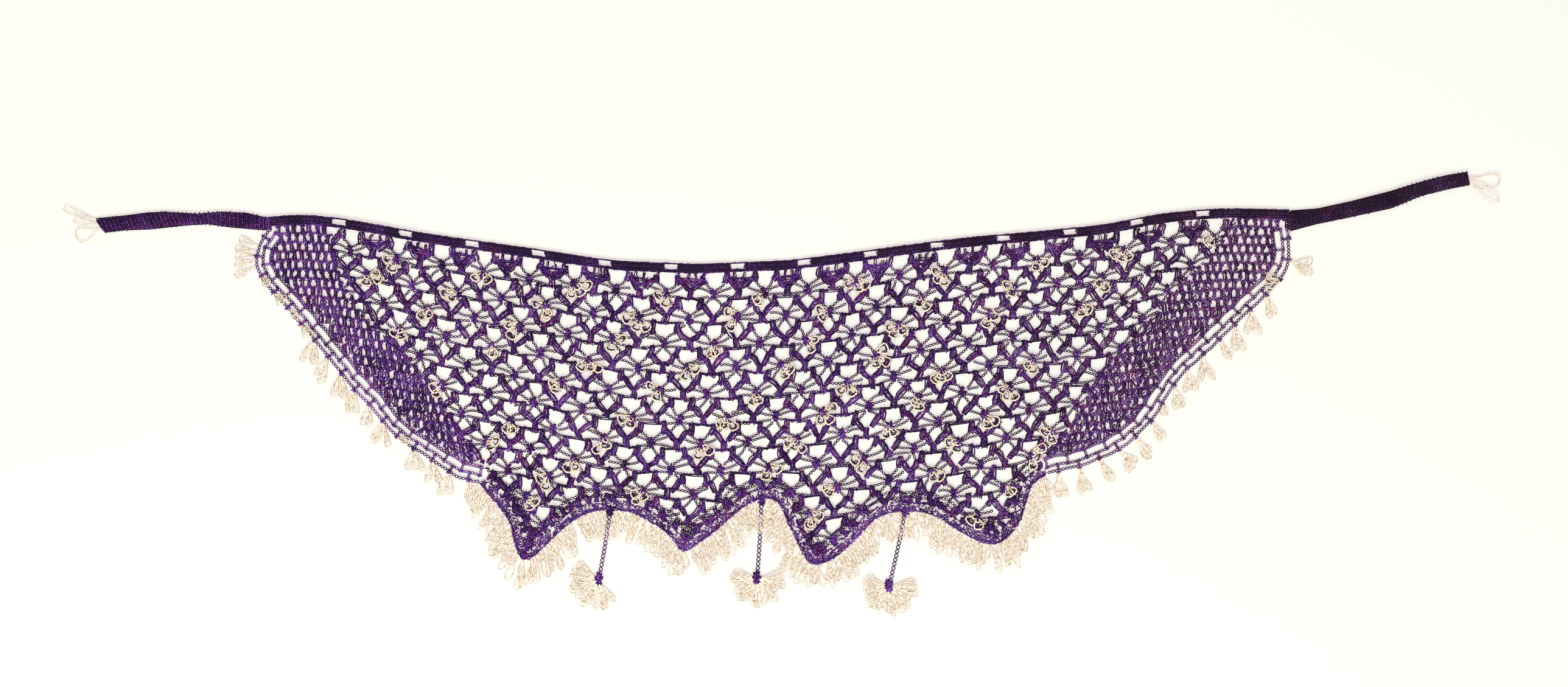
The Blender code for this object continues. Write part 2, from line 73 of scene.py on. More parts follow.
# Upper and lower edge of each tie, outwards from the waistband: x, y.
TIE_EDGES = {
    "left": (
        [(-493.3, 171), (-514, 176), (-538, 177), (-561, 175), (-575, 176), (-593, 177),
         (-610, 176), (-633, 173), (-659, 170)],
        [(-493.3, 157.5), (-508, 158), (-530, 160), (-551, 163), (-569, 162), (-588, 160),
         (-606, 158), (-632, 157), (-650, 155)],
    ),
    "right": (
        [(490.3, 178), (516, 180), (548, 187), (587, 197), (620, 207), (640, 212), (660, 215)],
        [(490.3, 156.5), (516, 163), (545, 169), (587, 178), (616, 190), (640, 196), (663, 201)],
    ),
}

# Side edges and hem, round the scarf from the left corner to the right one: x, y.
LEFT_EDGE = [
    (-490, 160), (-495, 154.5), (-502, 143), (-504, 126), (-497, 109), (-481, 91),
    (-468, 76), (-456, 61), (-440, 42), (-426, 25), (-413, 8), (-399, -6),
    (-387, -20), (-375, -35), (-361, -47), (-346, -56), (-328, -68), (-310, -79),
    (-290, -84),
]
HEM = [
    (-289, -85), (-282, -94), (-270, -108), (-260, -123), (-256, -140), (-250, -156),
    (-240, -157), (-227, -146), (-215, -134), (-202, -123), (-188, -115), (-174, -111),
    (-158, -111), (-143, -113), (-131, -119), (-117, -127), (-104, -138), (-96, -149),
    (-88, -149), (-78, -142), (-65, -133), (-51, -121), (-37, -109), (-24, -102),
    (-11, -99.5), (0, -106), (6, -120), (13, -135), (20, -149), (29, -162),
    (40, -162), (53, -156), (67, -144), (80, -131), (92, -119), (107, -113),
    (122, -112), (138, -113), (154, -119), (169, -129), (187, -139), (199, -143),
    (211, -142), (222, -133), (231, -120), (236, -104), (243, -86), (257, -76.6),
]
HEM_CORNERS = [0, 5.5, 12, 17.5, 24, 29.5, 36, 41.5, 47]
RIGHT_EDGE = [
    (257.6, -76.3), (272, -73), (289, -69), (306, -62), (324, -54), (340, -42),
    (353, -30), (366, -11), (378, 8), (389, 22), (403, 35), (417, 48), (432, 62),
    (448, 77), (463, 92), (476, 104), (484, 116), (489.5, 130), (489.5, 145),
    (488.5, 154), (487, 160.5),
]

# Seams between the lace and the two side nets, downwards from the waistband: x, y.
LEFT_SEAM = [
    (-434, 162), (-424, 113), (-410, 91), (-397, 69), (-370, 46), (-341, 16),
    (-318, -21), (-297, -58), (-283, -67),
]
RIGHT_SEAM = [
    (438, 169.6), (415, 134), (386, 107), (361, 77), (340, 54), (322, 37), (302, 11),
    (292, -4), (281, -25), (267, -47), (251, -60),
]

# Columns of the lace: number, x in row 1, x in row 4, x in row 9.
COLUMNS = [
    (-9, -455, -474, -480), (-8, -413, -430, -434), (-7, -368, -387, -390),
    (-6, -327, -346, -350), (-5, -285, -299, -309), (-4, -242, -255, -262),
    (-3, -199, -208, -223), (-2, -158, -162, -176), (-1, -110, -113, -132),
    (0, -64, -66, -84), (1, -16, -20, -38), (2, 27, 23, 9), (3, 71, 67, 55),
    (4, 114, 113, 103), (5, 158, 158, 146), (6, 204, 202, 193), (7, 246, 244, 239),
    (8, 287, 287, 280), (9, 332, 328, 324), (10, 375, 370, 366), (11, 417, 412, 408),
    (12, 456, 451, 447),
]
LACE_ROWS = 12
ROW_DROP = 24.3
FIRST_DROP = 29.3
ROW_TAPER = 0.06
TAPER_MIDDLE = 10
TAPER_HALF_SPAN = 350
COLUMN_PITCH = 46.0

# One lace repeat, to the right of its knot and mirrored to the left: x, y.
CHAIN_LEGS = [
    ((1.8, 4.2), (8.8, 9.8)),
    ((3.2, 1.4), (15.6, 5.0)),
    ((3.2, -2.6), (20.2, -4.6)),
    ((1.8, -4.8), (8.4, -12.6)),
]
UPPER_BLOCK = [(10.4, 21.2), (10.7, 17.4), (10.4, 13.6), (9.4, 9.4)]
LOWER_BLOCK = [(11.6, 14.4), (14.4, 11.4), (17.0, 8.0), (21.0, 3.4)]
POST_TOP, POST_BOTTOM = 4.8, -5.2
BAR_HALF, BAR_Y = 9.6, -4.9
LEAN = 0.08

EYELET_FIRST_X = -424.5
EYELET_PITCH = 63.9
EYELET_COUNT = 14
EYELET_HALF = 6.3
EYELET_DEPTHS = (1.8, 6.0)

LADDER_CELLS = 17
LADDER_LINES = (0.9, 6.2, 14.8)

# Tassels: name, hem end of the cord, head, first and last loop angle clockwise from down,
# number of loops, loop length.
TASSELS = [
    ("1", (-163.5, -111.6), (-174.5, -178.0), -22, 128, 15, 28.0),
    ("2", (-18.0, -101.5), (-22.5, -177.0), -98, 112, 20, 26.0),
    ("3", (120.0, -112.4), (104.5, -185.0), -110, 110, 20, 26.5),
]

# Stitches of the waistband and the hem border: depth from the edge, pitch, length, slant in
# degrees from the edge, lowest tone.
WAISTBAND_ROWS = [
    (-0.7, 2.3, 3.8, 9, 0.2), (-2.9, 2.3, 4.4, -58, 0.0), (-4.6, 2.3, 4.2, -52, 0.1),
    (-3.7, 4.6, 4.6, 60, 0.3), (-7.0, 2.4, 4.0, 14, 0.3), (-8.7, 2.4, 4.2, -12, 0.4),
]
BORDER_ROWS = [
    (0.3, 2.3, 4.0, 5, 0.2), (1.6, 2.1, 4.2, -28, 0.0), (3.0, 2.2, 4.2, 35, 0.3),
    (4.6, 2.6, 4.4, -42, 0.2), (6.2, 2.8, 4.2, 30, 0.0), (7.8, 2.8, 4.2, -20, 0.3),
    (9.0, 3.4, 4.0, 12, 0.1),
]
BORDER_MISSING = 0.06
HEM_CHAINS = (13.0, 17.5)
HEM_CHAIN_RUN = 14.5
TIE_PITCH = 2.1
TIE_LAP = 4
TIE_LAP_PITCH = 1.05
TIE_ROWS = 9
NET_ROWS = 30
NET_PITCH = 7.4
NET_DROP = 8.6
NET_SHIFT = 0.35
NET_LOW_ROW = 7
OVERLAP = 2.5
UNDER_BAND = 1.5 - BAND_DEPTH
SLOPE_REACH = 12.0

# Bundles of strands side by side: number, spacing, strand radius, height, flare along the line.
BUNDLES = {
    "block": (4, 1.32, 0.87, 0.9, (0.75, 1.1, 1.15, 0.85)),
    "post": (5, 1.25, 0.85, 1.0, (0.95, 0.95, 1.05, 1.5)),
    "bar": (2, 1.0, 0.62, 1.2, 1.0),
    "hem bar": (4, 1.15, 0.66, 1.3, (1.3, 0.9, 0.9, 1.2)),
    "crown bar": (3, 1.0, 0.58, 1.3, 1.0),
    "crown slope": (4, 1.1, 0.62, 1.3, 1.0),
    "crown row": (3, 0.95, 0.6, 1.4, 1.0),
    "net bar": (3, 1.3, 0.88, 1.5, (1.15, 0.85, 1.25)),
    "low net bar": (3, 1.5, 0.88, 1.5, (1.15, 0.85, 1.25)),
}

# Strands wrapped over them: number, length, radius, height, reach to each side.
WRAPS = {
    "block": (7, 4.2, 0.8, 2.3, 2.1),
    "post": (10, 4.4, 0.78, 2.4, 2.6),
    "bar": (2, 3.6, 0.58, 2.0, 0.8),
    "hem bar": (4, 4.0, 0.62, 2.0, 1.6),
    "crown slope": (3, 4.2, 0.55, 2.0, 1.6),
    "upper crown row": (8, 4.4, 0.8, 2.1, 2.2),
    "lower crown row": (7, 4.4, 0.8, 2.1, 2.2),
    "net bar": (3, 4.2, 0.8, 2.4, 1.7),
    "net chain": (3, 4.6, 0.95, 2.4, 1.7),
    "net filling": (3, 4.6, 0.85, 1.6, 1.6),
}

# Crochet chains: height, link length, half width, strand radius.
CHAINS = {
    "lace leg": (1.2, 3.3, 1.05, 0.56),
    "hem": (1.3, 3.3, 1.25, 0.47),
    "net bar": (1.6, 2.9, 1.3, 0.85),
    "net link": (1.4, 2.8, 1.1, 0.68),
    "ladder": (1.4, 3.2, 1.3, 0.57),
    "ladder inner": (1.7, 2.8, 0.9, 0.43),
    "ladder bar": (1.5, 2.8, 1.1, 0.56),
    "tassel cord": (2.1, 4.2, 1.9, 0.6),
}
CHAIN_CROSSING = 0.35

# Rows of the crown over each post of the first row: height, half length, wraps.
CROWN_ROWS = [(13.4, 10.5, "upper crown row"), (9.4, 7.5, "lower crown row")]

# One stitch: places along its length, rise and thickness at each.
LEAF_PLACES = np.array([-0.5, -0.22, 0.22, 0.5])
LEAF_RISE = np.array([-1.0, 0.6, 0.6, -1.0])
LEAF_TAPER = np.array([0.45, 1.0, 1.0, 0.45])
STITCH_HEIGHT, STITCH_RADIUS, STITCH_ARCH = 1.7, 0.78, 0.45

# Layers of the hem fringe: shortest and longest loop, height.
HEM_LAYERS = [(14.0, 22.0, 0.3), (21.0, 30.0, 1.4)]
HEM_LOOP_STEP = 4.3
HEM_DOWNWARD = 0.4

# Groups of bead loops on the ladders: cell, direction in degrees, length, loops, height.
SIDE_GROUPS = {
    "left": {
        "side": [
            (2, -40, 13, 2, 3.0), (3, -35, 15, 2, 3.0), (4, -30, 14, 1, 3.0), (5, -40, 14, 2, 3.0),
            (6, -108, 23, 3, 0.3), (7, -115, 24, 2, 0.3), (8, -100, 24, 3, 0.3),
            (9, -105, 22, 3, 0.3), (10, -98, 22, 2, 0.3), (11, -92, 24, 3, 0.3),
            (12, -20, 14, 2, 3.0), (13, -93, 22, 3, 0.3), (14, -82, 24, 3, 0.3),
            (15, -95, 24, 2, 0.3), (16, -90, 25, 2, 0.3),
        ],
        "corner": [(1, 182, 23, 5, 0.3)],
    },
    "right": {
        "side": [
            (0, -85, 25, 3, 0.3), (1, -75, 24, 3, 0.3), (2, -55, 24, 2, 0.3), (3, -52, 24, 3, 0.3),
            (4, -65, 23, 3, 0.3), (5, -60, 23, 2, 0.3), (6, -80, 12, 2, 0.3),
            (7, -78, 23, 3, 0.3), (8, -80, 24, 3, 0.3), (9, -84, 25, 3, 0.3), (10, -68, 21, 2, 0.3),
            (11, -86, 24, 3, 0.3), (12, -80, 23, 3, 0.3), (13, -75, 23, 3, 0.3),
            (14, 190, 16, 3, 3.0),
        ],
        "corner": [(15, -28, 26, 3, 0.3)],
    },
}

# Bead loops on each tie end: root x and y, direction in degrees, length, width.
TIE_END_LOOPS = {
    "left": [(-656, 168, 166, 35, 6), (-655, 164, 172, 24, 6), (-654, 161, 207, 25, 14)],
    "right": [(661, 209, -9, 31, 13), (662, 205, -36, 34, 8)],
}
WARM_TINT = (1.25, 0.5, 0.6, 1.0)
# Painted shade in the grooves between the plies of a strand.
GROOVE_SHADE_TINT = (0.4, 0.3, 0.42, 1.0)
# Painted light: a warmer, greyer cast over the yarn towards the right side.
RIGHT_LIGHT_CAST = (0.9, 1.2, 0.6, 1.0)
# Painted shade: near-black tint for the flanks of each strand of yarn.
FLANK_SHADE_TINT = (0.05, 0.03, 0.065, 1.0)
# Painted shade, warm golden, on the flanks of each bead.
BEAD_FLANK_SHADE_TINT = (0.62, 0.50, 0.37, 1.0)
PLY_TWIST = 2.2
DROP_PHASE = 1.0
DROP_MISSING = 0.08

WAVE = 0.9
SWAY = 1.0
FULLER_AT_ENDS = 0.35
LACE_HALF_SPAN = 450.0
BEAD = 1.75
DROP_BEAD = 3.0
BEAD_NECK = 0.26
BEND = 0.16
STRAND_SIDES = 3
TINY = 1e-9
CORE_INSET, CORE_LOW, CORE_HIGH = 0.6, 0.25, 1.5

# Yarns: darkest, middle and lightest shade, share of the warm patches, sheen.
YARNS = {
    "dense": ((0.008, 0.0015, 0.015), (0.072, 0.011, 0.150), (0.30, 0.090, 0.52), 0.6, 0.12),
    "lace": ((0.008, 0.001, 0.016), (0.165, 0.018, 0.400), (0.60, 0.225, 1.00), 0.9, 0.12),
    "chain": ((0.006, 0.001, 0.010), (0.032, 0.007, 0.062), (0.17, 0.050, 0.28), 0.5, 0.12),
    # The core shell is near-black: painted shade seen between the stitches.
    "core": ((0.006, 0.002, 0.010), (0.012, 0.004, 0.020), (0.024, 0.008, 0.040), 0.3, 0.1),
}
YARN_INPUTS = {
    "Roughness": 0.6, "Specular IOR Level": 0.22, "Sheen Roughness": 0.4,
    "Sheen Tint": (0.8, 0.55, 1.0, 1.0),
}
BUMP_INPUTS = {"Strength": 0.7, "Distance": 0.25 * MM}

# Noise in the materials: scale, detail.
SHADE_NOISE, WARM_NOISE, GLASS_NOISE = (45.0, 3.0), (70.0, 1.0), (380.0, 1.0)

# Straight lines in the materials: factor, offset.
SHADE_LINE, WARM_LINE, GROOVE_SHADE_LINE = (1.2, -0.38), (3.0, -1.35), (0.3, 0.3)
FLANK_SHADE_LINE, RIGHT_CAST_LINE = (-1.6, 1.4), (2.4, -0.2)
TONE_SHARE = 0.6

# Shades of the bead glass: place on the ramp, colour.
GLASS_SHADES = [(0.32, (0.62, 0.48, 0.33)), (0.62, (0.97, 0.93, 0.83)), (0.47, (0.91, 0.81, 0.63))]
# The Emission Strength makes the beads glow a little: painted light that keeps them bright in
# shade.
GLASS_AND_GLOW_INPUTS = {
    "Emission Strength": 0.22, "Roughness": 0.18, "Transmission Weight": 0.15, "IOR": 1.4,
    "Coat Weight": 0.3,
}

# Floor, sky, lamp and camera, in metres, watts and degrees; the sensor alone in millimetres.
FLOOR_SIZE = 8.0
# The floor glows in part: painted light that lightens the shade cast on it and tints that shade
# pink; its lit greenish base and the glow add up to pale white in the open.
FLOOR_INPUTS = {
    "Base Color": (0.36, 0.47, 0.36, 1), "Emission Color": (0.585, 0.463, 0.505, 1),
    "Emission Strength": 1.0, "Roughness": 0.9, "Specular IOR Level": 0.1,
}
SKY_INPUTS = {"Color": (1.0, 0.995, 0.98, 1), "Strength": 0.72}
LAMP_POWER, LAMP_SIZE = 62.0, 1.3
LAMP_PLACE, LAMP_TILT = (-0.35, -1.9, 1.7), (47, -9, 0)
NODE_STEP, NODE_ROW = 200, -500
CAMERA_HEIGHT = 1.16
CAMERA_XY = (0.0035, 0.0492)
VIEW_WIDTH = 1.510
SENSOR = 36.0


def lift(x, y):
    """How far the cloth's soft waves hold it off the floor."""
    along = np.sin(x / 41.0 + 1.7 * np.sin(y / 33.0))
    across = np.sin(y / 27.0 - 1.1 * np.sin(x / 58.0))
    return WAVE * (2.0 + along + across) / 4.0


def smooth(points, parts=10):
    """A smooth curve through the points."""
    p = np.array([points[0], *points, points[-1]], float)
    t = np.linspace(0.0, 1.0, parts, endpoint=False)[:, None]
    pieces = [
        0.5 * (2 * b + (c - a) * t + (2 * a - 5 * b + 4 * c - d) * t ** 2
               + (3 * b - a - 3 * c + d) * t ** 3)
        for a, b, c, d in zip(p, p[1:], p[2:], p[3:])
    ]
    return np.concatenate([*pieces, p[-1:]])


def distances(path):
    """Distance from the start of a path to each of its points."""
    return np.concatenate([[0.0], np.cumsum(np.linalg.norm(np.diff(path, axis=0), axis=1))])


def along(line, steps, s):
    """Points of a plan line at distances s; steps are the distances of its own points."""
    return np.stack([np.interp(s, steps, line[:, i]) for i in (0, 1)], axis=-1)


def unit(vectors):
    """The same directions, one unit long."""
    return vectors / (np.linalg.norm(vectors, axis=-1, keepdims=True) + TINY)


def left_of(forward):
    """Plan directions turned a quarter to the left."""
    return np.stack([-forward[..., 1], forward[..., 0]], axis=-1)


def hump(count):
    """Values that rise from 0 to 1 and fall back to 0."""
    return np.sin(np.linspace(0.0, math.pi, count))


def about(rng, reach):
    """A random number up to the reach on either side of 0."""
    return rng.uniform(-reach, reach)


class Line:
    """A plan curve, read at distances along it and moved to its left."""

    def __init__(self, points):
        self.points = smooth(points)
        self.distance = distances(self.points)
        self.length = float(self.distance[-1])

    def read(self, s):
        return along(self.points, self.distance, s)

    def heading(self, s, reach=4.0):
        return unit(self.read(s + reach) - self.read(s - reach))

    def at(self, s, out):
        return self.read(s) + left_of(self.heading(s)) * np.asarray(out)[..., None]


def sway(x, y):
    """Where the hand-worked lace puts a point of its regular plan."""
    dx = math.sin(0.21 * x + 1.9 * math.sin(0.17 * y)) + 0.6 * math.sin(0.47 * y + 0.31 * x)
    dy = math.sin(0.25 * y + 2.1 * math.sin(0.15 * x + 1.0)) + 0.6 * math.sin(0.43 * x - 0.2 * y)
    return x + SWAY * dx, y + SWAY * dy


def inside(points, ring):
    """Which points lie inside a closed ring."""
    x, y = points[:, 0, None], points[:, 1, None]
    x0, y0 = ring[:, 0], ring[:, 1]
    x1, y1 = np.roll(x0, -1), np.roll(y0, -1)
    rise = np.where(y1 == y0, TINY, y1 - y0)
    hits = ((y0 > y) != (y1 > y)) & (x < x0 + (y - y0) / rise * (x1 - x0))
    return hits.sum(axis=1) % 2 == 1


class Strands:
    """Gathers tubes of yarn or strings of beads into one mesh."""

    def __init__(self, seed, clip=None):
        self.random = random.Random(seed)
        self.clip = clip
        self.points, self.tones = [], []
        self.walls, self.maps, self.caps = [], [], []
        self.count = 0

    def clipped(self, path, radii):
        """The longest run of the path inside the clip ring."""
        keep = inside(path, self.clip)
        if keep.all():
            return path, radii
        edges = np.flatnonzero(np.diff(np.concatenate([[0], keep.astype(int), [0]])))
        if len(edges) == 0:
            return path[:0], radii[:0]
        runs = edges.reshape(-1, 2)
        first, last = runs[np.argmax(runs[:, 1] - runs[:, 0])]
        return path[first:last], radii[first:last]

    def add(self, path, radius, tone=None):
        """One tube along a path of x, y, z, with a radius for all of it or for each point."""
        path = np.array(path, float)
        radii = np.broadcast_to(radius, len(path)).astype(float)
        if self.clip is not None:
            path, radii = self.clipped(path, radii)
        if len(path) < 2:
            return
        path[:, 2] += lift(path[:, 0], path[:, 1])
        forward = unit(np.gradient(path, axis=0))
        side = unit(np.stack([forward[:, 1], -forward[:, 0], np.zeros(len(path))], axis=1))
        up = np.cross(side, forward)
        turn = 2 * math.pi * np.arange(STRAND_SIDES) / STRAND_SIDES + math.pi / 2
        ring = side[:, None] * np.cos(turn)[:, None] + up[:, None] * np.sin(turn)[:, None]
        points = path[:, None] + ring * radii[:, None, None]
        self.points.append(points.reshape(-1, 3))
        self.stitch(path)
        tone = self.random.random() if tone is None else tone
        self.tones.append(np.full(len(path) * STRAND_SIDES, tone))
        self.count += len(path) * STRAND_SIDES

    def stitch(self, path):
        """Faces of one tube, its two caps, and the map of turns and length on it."""
        i, j = np.meshgrid(np.arange(len(path) - 1), np.arange(STRAND_SIDES), indexing="ij")
        i, j = i.ravel(), j.ravel()
        k = (j + 1) % STRAND_SIDES
        near, far = i * STRAND_SIDES, (i + 1) * STRAND_SIDES
        self.walls.append(np.stack([near + j, near + k, far + k, far + j], 1) + self.count)
        length = distances(path)
        u0, u1 = j / STRAND_SIDES, (j + 1) / STRAND_SIDES
        v0, v1 = length[i], length[i + 1]
        self.maps.append(np.stack([u0, v0, u1, v0, u1, v1, u0, v1], 1).reshape(-1, 2))
        cap = np.arange(STRAND_SIDES)
        last = (len(path) - 1) * STRAND_SIDES
        self.caps.append(np.stack([cap[::-1], cap + last]) + self.count)

    def leaf(self, x, y, z, angle, length, radius, arch=0.5, tone=None):
        """One short stitch: a strand that rises out of the cloth and dips back in."""
        path = np.stack([
            x + math.cos(angle) * length * LEAF_PLACES,
            y + math.sin(angle) * length * LEAF_PLACES,
            z + arch * LEAF_RISE,
        ], axis=1)
        self.add(path, radius * LEAF_TAPER, tone)

    def chain(self, start, end, kind, raised=0.0, bow=0.0):
        """Crochet chain between two points, on a shallow arc."""
        start, end = np.array(start, float), np.array(end, float)
        arc = left_of(unit(end - start)) * hump(9)[:, None]
        self.chain_along(np.linspace(start, end, 9) + bow * arc, kind, raised)

    def chain_along(self, line, kind, raised=0.0):
        """Crochet chain along a line: two strands that cross at every link."""
        height, link, half_width, radius = CHAINS[kind]
        steps = distances(line)
        links = max(round(steps[-1] / link), 1)
        s = np.linspace(0.0, steps[-1], 3 * links + 1)
        middle = along(line, steps, s)
        left = left_of(unit(np.gradient(middle, axis=0)))
        phase = np.arange(len(s)) * math.pi / 3
        tone = self.random.random()
        for sign in (1, -1):
            plan = middle + left * (sign * half_width * np.sin(phase))[:, None]
            z = height + raised + sign * CHAIN_CROSSING * np.cos(phase)
            self.add(np.column_stack([plan, z]), radius, tone)

    def beads(self, line, z, size):
        """Seed beads strung along a plan curve at even spacing."""
        steps = distances(line)
        count = max(int(steps[-1] / size), 2)
        s = np.linspace(0.0, steps[-1], 2 * count + 1)
        radii = np.where(np.arange(len(s)) % 2 == 1, size * 0.5, size * BEAD_NECK)
        self.add(np.column_stack([along(line, steps, s), np.interp(s, steps, z)]), radii)

    def build(self, name, material, slot):
        """The gathered tubes as one smooth mesh object that rides on the scarf."""
        mesh = bpy.data.meshes.new(name)
        points = np.concatenate(self.points) * MM
        mesh.vertices.add(len(points))
        mesh.vertices.foreach_set("co", points.ravel())
        walls, caps = np.concatenate(self.walls), np.concatenate(self.caps)
        corners = np.concatenate([walls.ravel(), caps.ravel()])
        starts = [4 * np.arange(len(walls)), walls.size + STRAND_SIDES * np.arange(len(caps))]
        starts = np.concatenate(starts)
        maps = np.concatenate([*self.maps, np.zeros((caps.size, 2))])
        mesh.loops.add(len(corners))
        mesh.loops.foreach_set("vertex_index", corners.astype(np.int32))
        mesh.polygons.add(len(starts))
        mesh.polygons.foreach_set("loop_start", starts.astype(np.int32))
        layer = mesh.uv_layers.new(name="strand")
        layer.data.foreach_set("uv", maps.astype(np.float32).ravel())
        tone = mesh.attributes.new("tone", "FLOAT", "POINT")
        tone.data.foreach_set("value", np.concatenate(self.tones).astype(np.float32))
        mesh.update(calc_edges=True)
        mesh.validate()
        mesh.shade_smooth()
        mesh.materials.append(material)
        TRIANGLES.append(2 * len(walls) + len(caps))
        return add_piece(name, mesh)


def add_piece(name, mesh):
    """A mesh as a piece that rides on the scarf."""
    obj = bpy.data.objects.new(name, mesh)
    bpy.context.scene.collection.objects.link(obj)
    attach(obj, BODY)
    return obj


def core_of(node, name, material, inset=CORE_INSET):
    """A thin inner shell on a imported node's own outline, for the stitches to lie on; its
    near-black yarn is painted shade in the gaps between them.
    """
    mesh = FRAME["nodes"][node].data.copy()
    count = len(mesh.vertices)
    points = np.empty(count * 3)
    mesh.vertices.foreach_get("co", points)
    points = points.reshape(-1, 3)
    shift = np.zeros((count, 2))
    for face in mesh.polygons:
        if abs(face.normal.z) < 0.5:
            for corner in face.vertices:
                shift[corner] += face.normal.xy
    places = {}
    for i, p in enumerate(points):
        places.setdefault((round(p[0], 5), round(p[1], 5)), []).append(i)
    middle = (points[:, 2].min() + points[:, 2].max()) / 2
    for members in places.values():
        total = shift[members].sum(axis=0)
        size = float(np.hypot(*total))
        if size > 0:
            points[members, :2] -= total / size * inset * MM
    top = points[:, 2] > middle
    wave = lift(points[:, 0] / MM, points[:, 1] / MM)
    points[:, 2] = (np.where(top, CORE_HIGH, CORE_LOW) + wave) * MM
    mesh.vertices.foreach_set("co", points.ravel())
    mesh.materials.clear()
    mesh.materials.append(material)
    mesh.name = name
    mesh.update()
    return add_piece(name, mesh)


def stitch_rows(strands, line, rows, skip=None, missing=0.0, loose=10):
    """Rows of stitches beside a line, with more of them left out the deeper a row lies."""
    rng = strands.random
    for depth, pitch, length, slant, tone in rows:
        for i in range(int(line.length / pitch)):
            s = (i + 0.5 + about(rng, 0.25)) * pitch
            x, y = line.at(s, depth + about(rng, 0.25))
            if rng.random() < missing * depth or (skip and skip(x, abs(depth))):
                continue
            hx, hy = line.heading(s)
            angle = math.atan2(hy, hx) + math.radians(slant + about(rng, loose))
            z = STITCH_HEIGHT + rng.uniform(-0.2, 0.35)
            strands.leaf(x, y, z, angle, length, STITCH_RADIUS, STITCH_ARCH,
                         tone + rng.uniform(0.0, 0.55))


def in_eyelet(x, depth):
    """Whether a place of the waistband lies in one of its eyelets."""
    number = round((x - EYELET_FIRST_X) / EYELET_PITCH)
    if not 0 <= number < EYELET_COUNT:
        return False
    near = abs(x - EYELET_FIRST_X - number * EYELET_PITCH) < EYELET_HALF
    return near and EYELET_DEPTHS[0] < depth < EYELET_DEPTHS[1]


def make_waistband(yarn):
    line = Line(WAIST)
    core = core_of("waistband", "waistband_core", yarn["core"])
    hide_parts("waistband")
    strands = Strands(11)
    stitch_rows(strands, line, WAISTBAND_ROWS, in_eyelet)
    stitches = strands.build("waistband_stitches", yarn["dense"], "dense_yarn")


def make_tie(side, yarn):
    upper, lower = (Line(edge) for edge in TIE_EDGES[side])
    core = core_of(f"tie_{side}", f"tie_core_{side}", yarn["core"], 0.9)
    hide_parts(f"tie_{side}")
    strands = Strands(21 if side == "left" else 22)
    rng = strands.random
    columns = int(upper.length / TIE_PITCH)
    # Painted light: the left tie's stitches lit brighter than the right tie's.
    inward, painted_light = (1, 1.6) if side == "left" else (-1, 1.0)
    for i in range(-TIE_LAP, columns):
        share = max(i + 0.5, 0.0) / columns
        top = upper.read(share * upper.length)
        low = lower.read(share * lower.length)
        across = low - top
        heading = math.atan2(across[1], across[0]) + math.pi / 2
        top = top - (min(i + 1.0, 0.0) * TIE_LAP_PITCH * inward, 0.0)
        scallop = 0.8 * math.sin(share * upper.length * 2 * math.pi / 4.4)
        for j in range(TIE_ROWS):
            t = 0.1 + 0.8 * (j + 0.5 + about(rng, 0.3)) / TIE_ROWS
            x, y = top + across * t
            slant = 0.95 if i % 2 else 2.2
            angle = heading + slant + about(rng, 0.2)
            z = 1.75 + 0.5 * math.sin(math.pi * t) + rng.uniform(-0.2, 0.35)
            # Painted light: each tie lighter towards its lower edge, which faces the lamp.
            tone = painted_light * (rng.uniform(0.0, 0.5) + 0.4 * t ** 3 + (0.2 if i % 2 else 0.0))
            strands.leaf(x, y + scallop * (1 - 2 * t), z, angle, 3.3, 0.85, 0.45, tone)
    stitches = strands.build(f"tie_stitches_{side}", yarn["dense"], "dense_yarn")


def make_border(yarn):
    strands = Strands(31)
    stitch_rows(strands, Line(HEM), BORDER_ROWS, None, BORDER_MISSING, 38)
    border = strands.build("hem_border_stitches", yarn["lace"], "dense_yarn")
    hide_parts("hem_border")


def column_x(number, row):
    """x of a lace column, whole or half way between two, in a row."""
    numbers = [c[0] for c in COLUMNS]
    if row <= 4:
        xs = [c[1] + (c[2] - c[1]) * (row - 1) / 3 for c in COLUMNS]
    else:
        xs = [c[2] + (c[3] - c[2]) * (row - 4) / 5 for c in COLUMNS]
    return float(np.interp(number, numbers, xs))


def knot_place(column, row):
    """Where a lace repeat lies: its knot, its stretch in x and y, and the slope of its row."""
    x = column_x(column, row)
    taper = 1 - ROW_TAPER * ((x - TAPER_MIDDLE) / TAPER_HALF_SPAN) ** 2
    low, waist, high = np.interp([x - SLOPE_REACH, x, x + SLOPE_REACH], *WAIST_CURVE.T)
    y = float(waist) - FIRST_DROP - (row - 1) * ROW_DROP * taper
    pitch = column_x(column + 0.5, row) - column_x(column - 0.5, row)
    slope = float(high - low) / (2 * SLOPE_REACH)
    return x, y, pitch / COLUMN_PITCH, taper, slope


def lace_ring():
    """Outline of the lace, a little over the side nets, the hem border and the waistband."""
    left = smooth(LEFT_SEAM) + (-OVERLAP, 0)
    right = smooth(RIGHT_SEAM) + (OVERLAP, 0)
    hem = Line(HEM)
    low = hem.at(np.linspace(2.0, hem.length - 2.0, 200), BORDER_WIDTH - 2.5)
    top = Line(WAIST).at(np.linspace(995.0, 30.0, 100), UNDER_BAND)
    top = top[(top[:, 0] > left[0, 0]) & (top[:, 0] < right[0, 0])]
    return np.concatenate([left, low, right[::-1], top])


def hem_rows(posts, legs):
    """The tighter rows of chain and bars that lie along the inside of the hem border."""
    rng = posts[1].random
    hem = Line(HEM)
    for depth in HEM_CHAINS:
        for i in range(int(hem.length / HEM_CHAIN_RUN)):
            s = np.linspace(i, i + 1.05, 9) * HEM_CHAIN_RUN
            out = depth + about(rng, 1.2) + 1.3 * hump(9)
            line = hem.at(s, out)
            half = 1 if line[0, 0] > 0 else -1
            legs[half].chain_along(line, "hem")
            foot, head = hem.at(np.array([s[0], s[0] + about(rng, 2)]), (8.0, depth))
            bar = np.linspace(foot, head, 4)
            bundle(posts[half], bar, "hem bar")
            wraps(posts[half], bar, "hem bar")


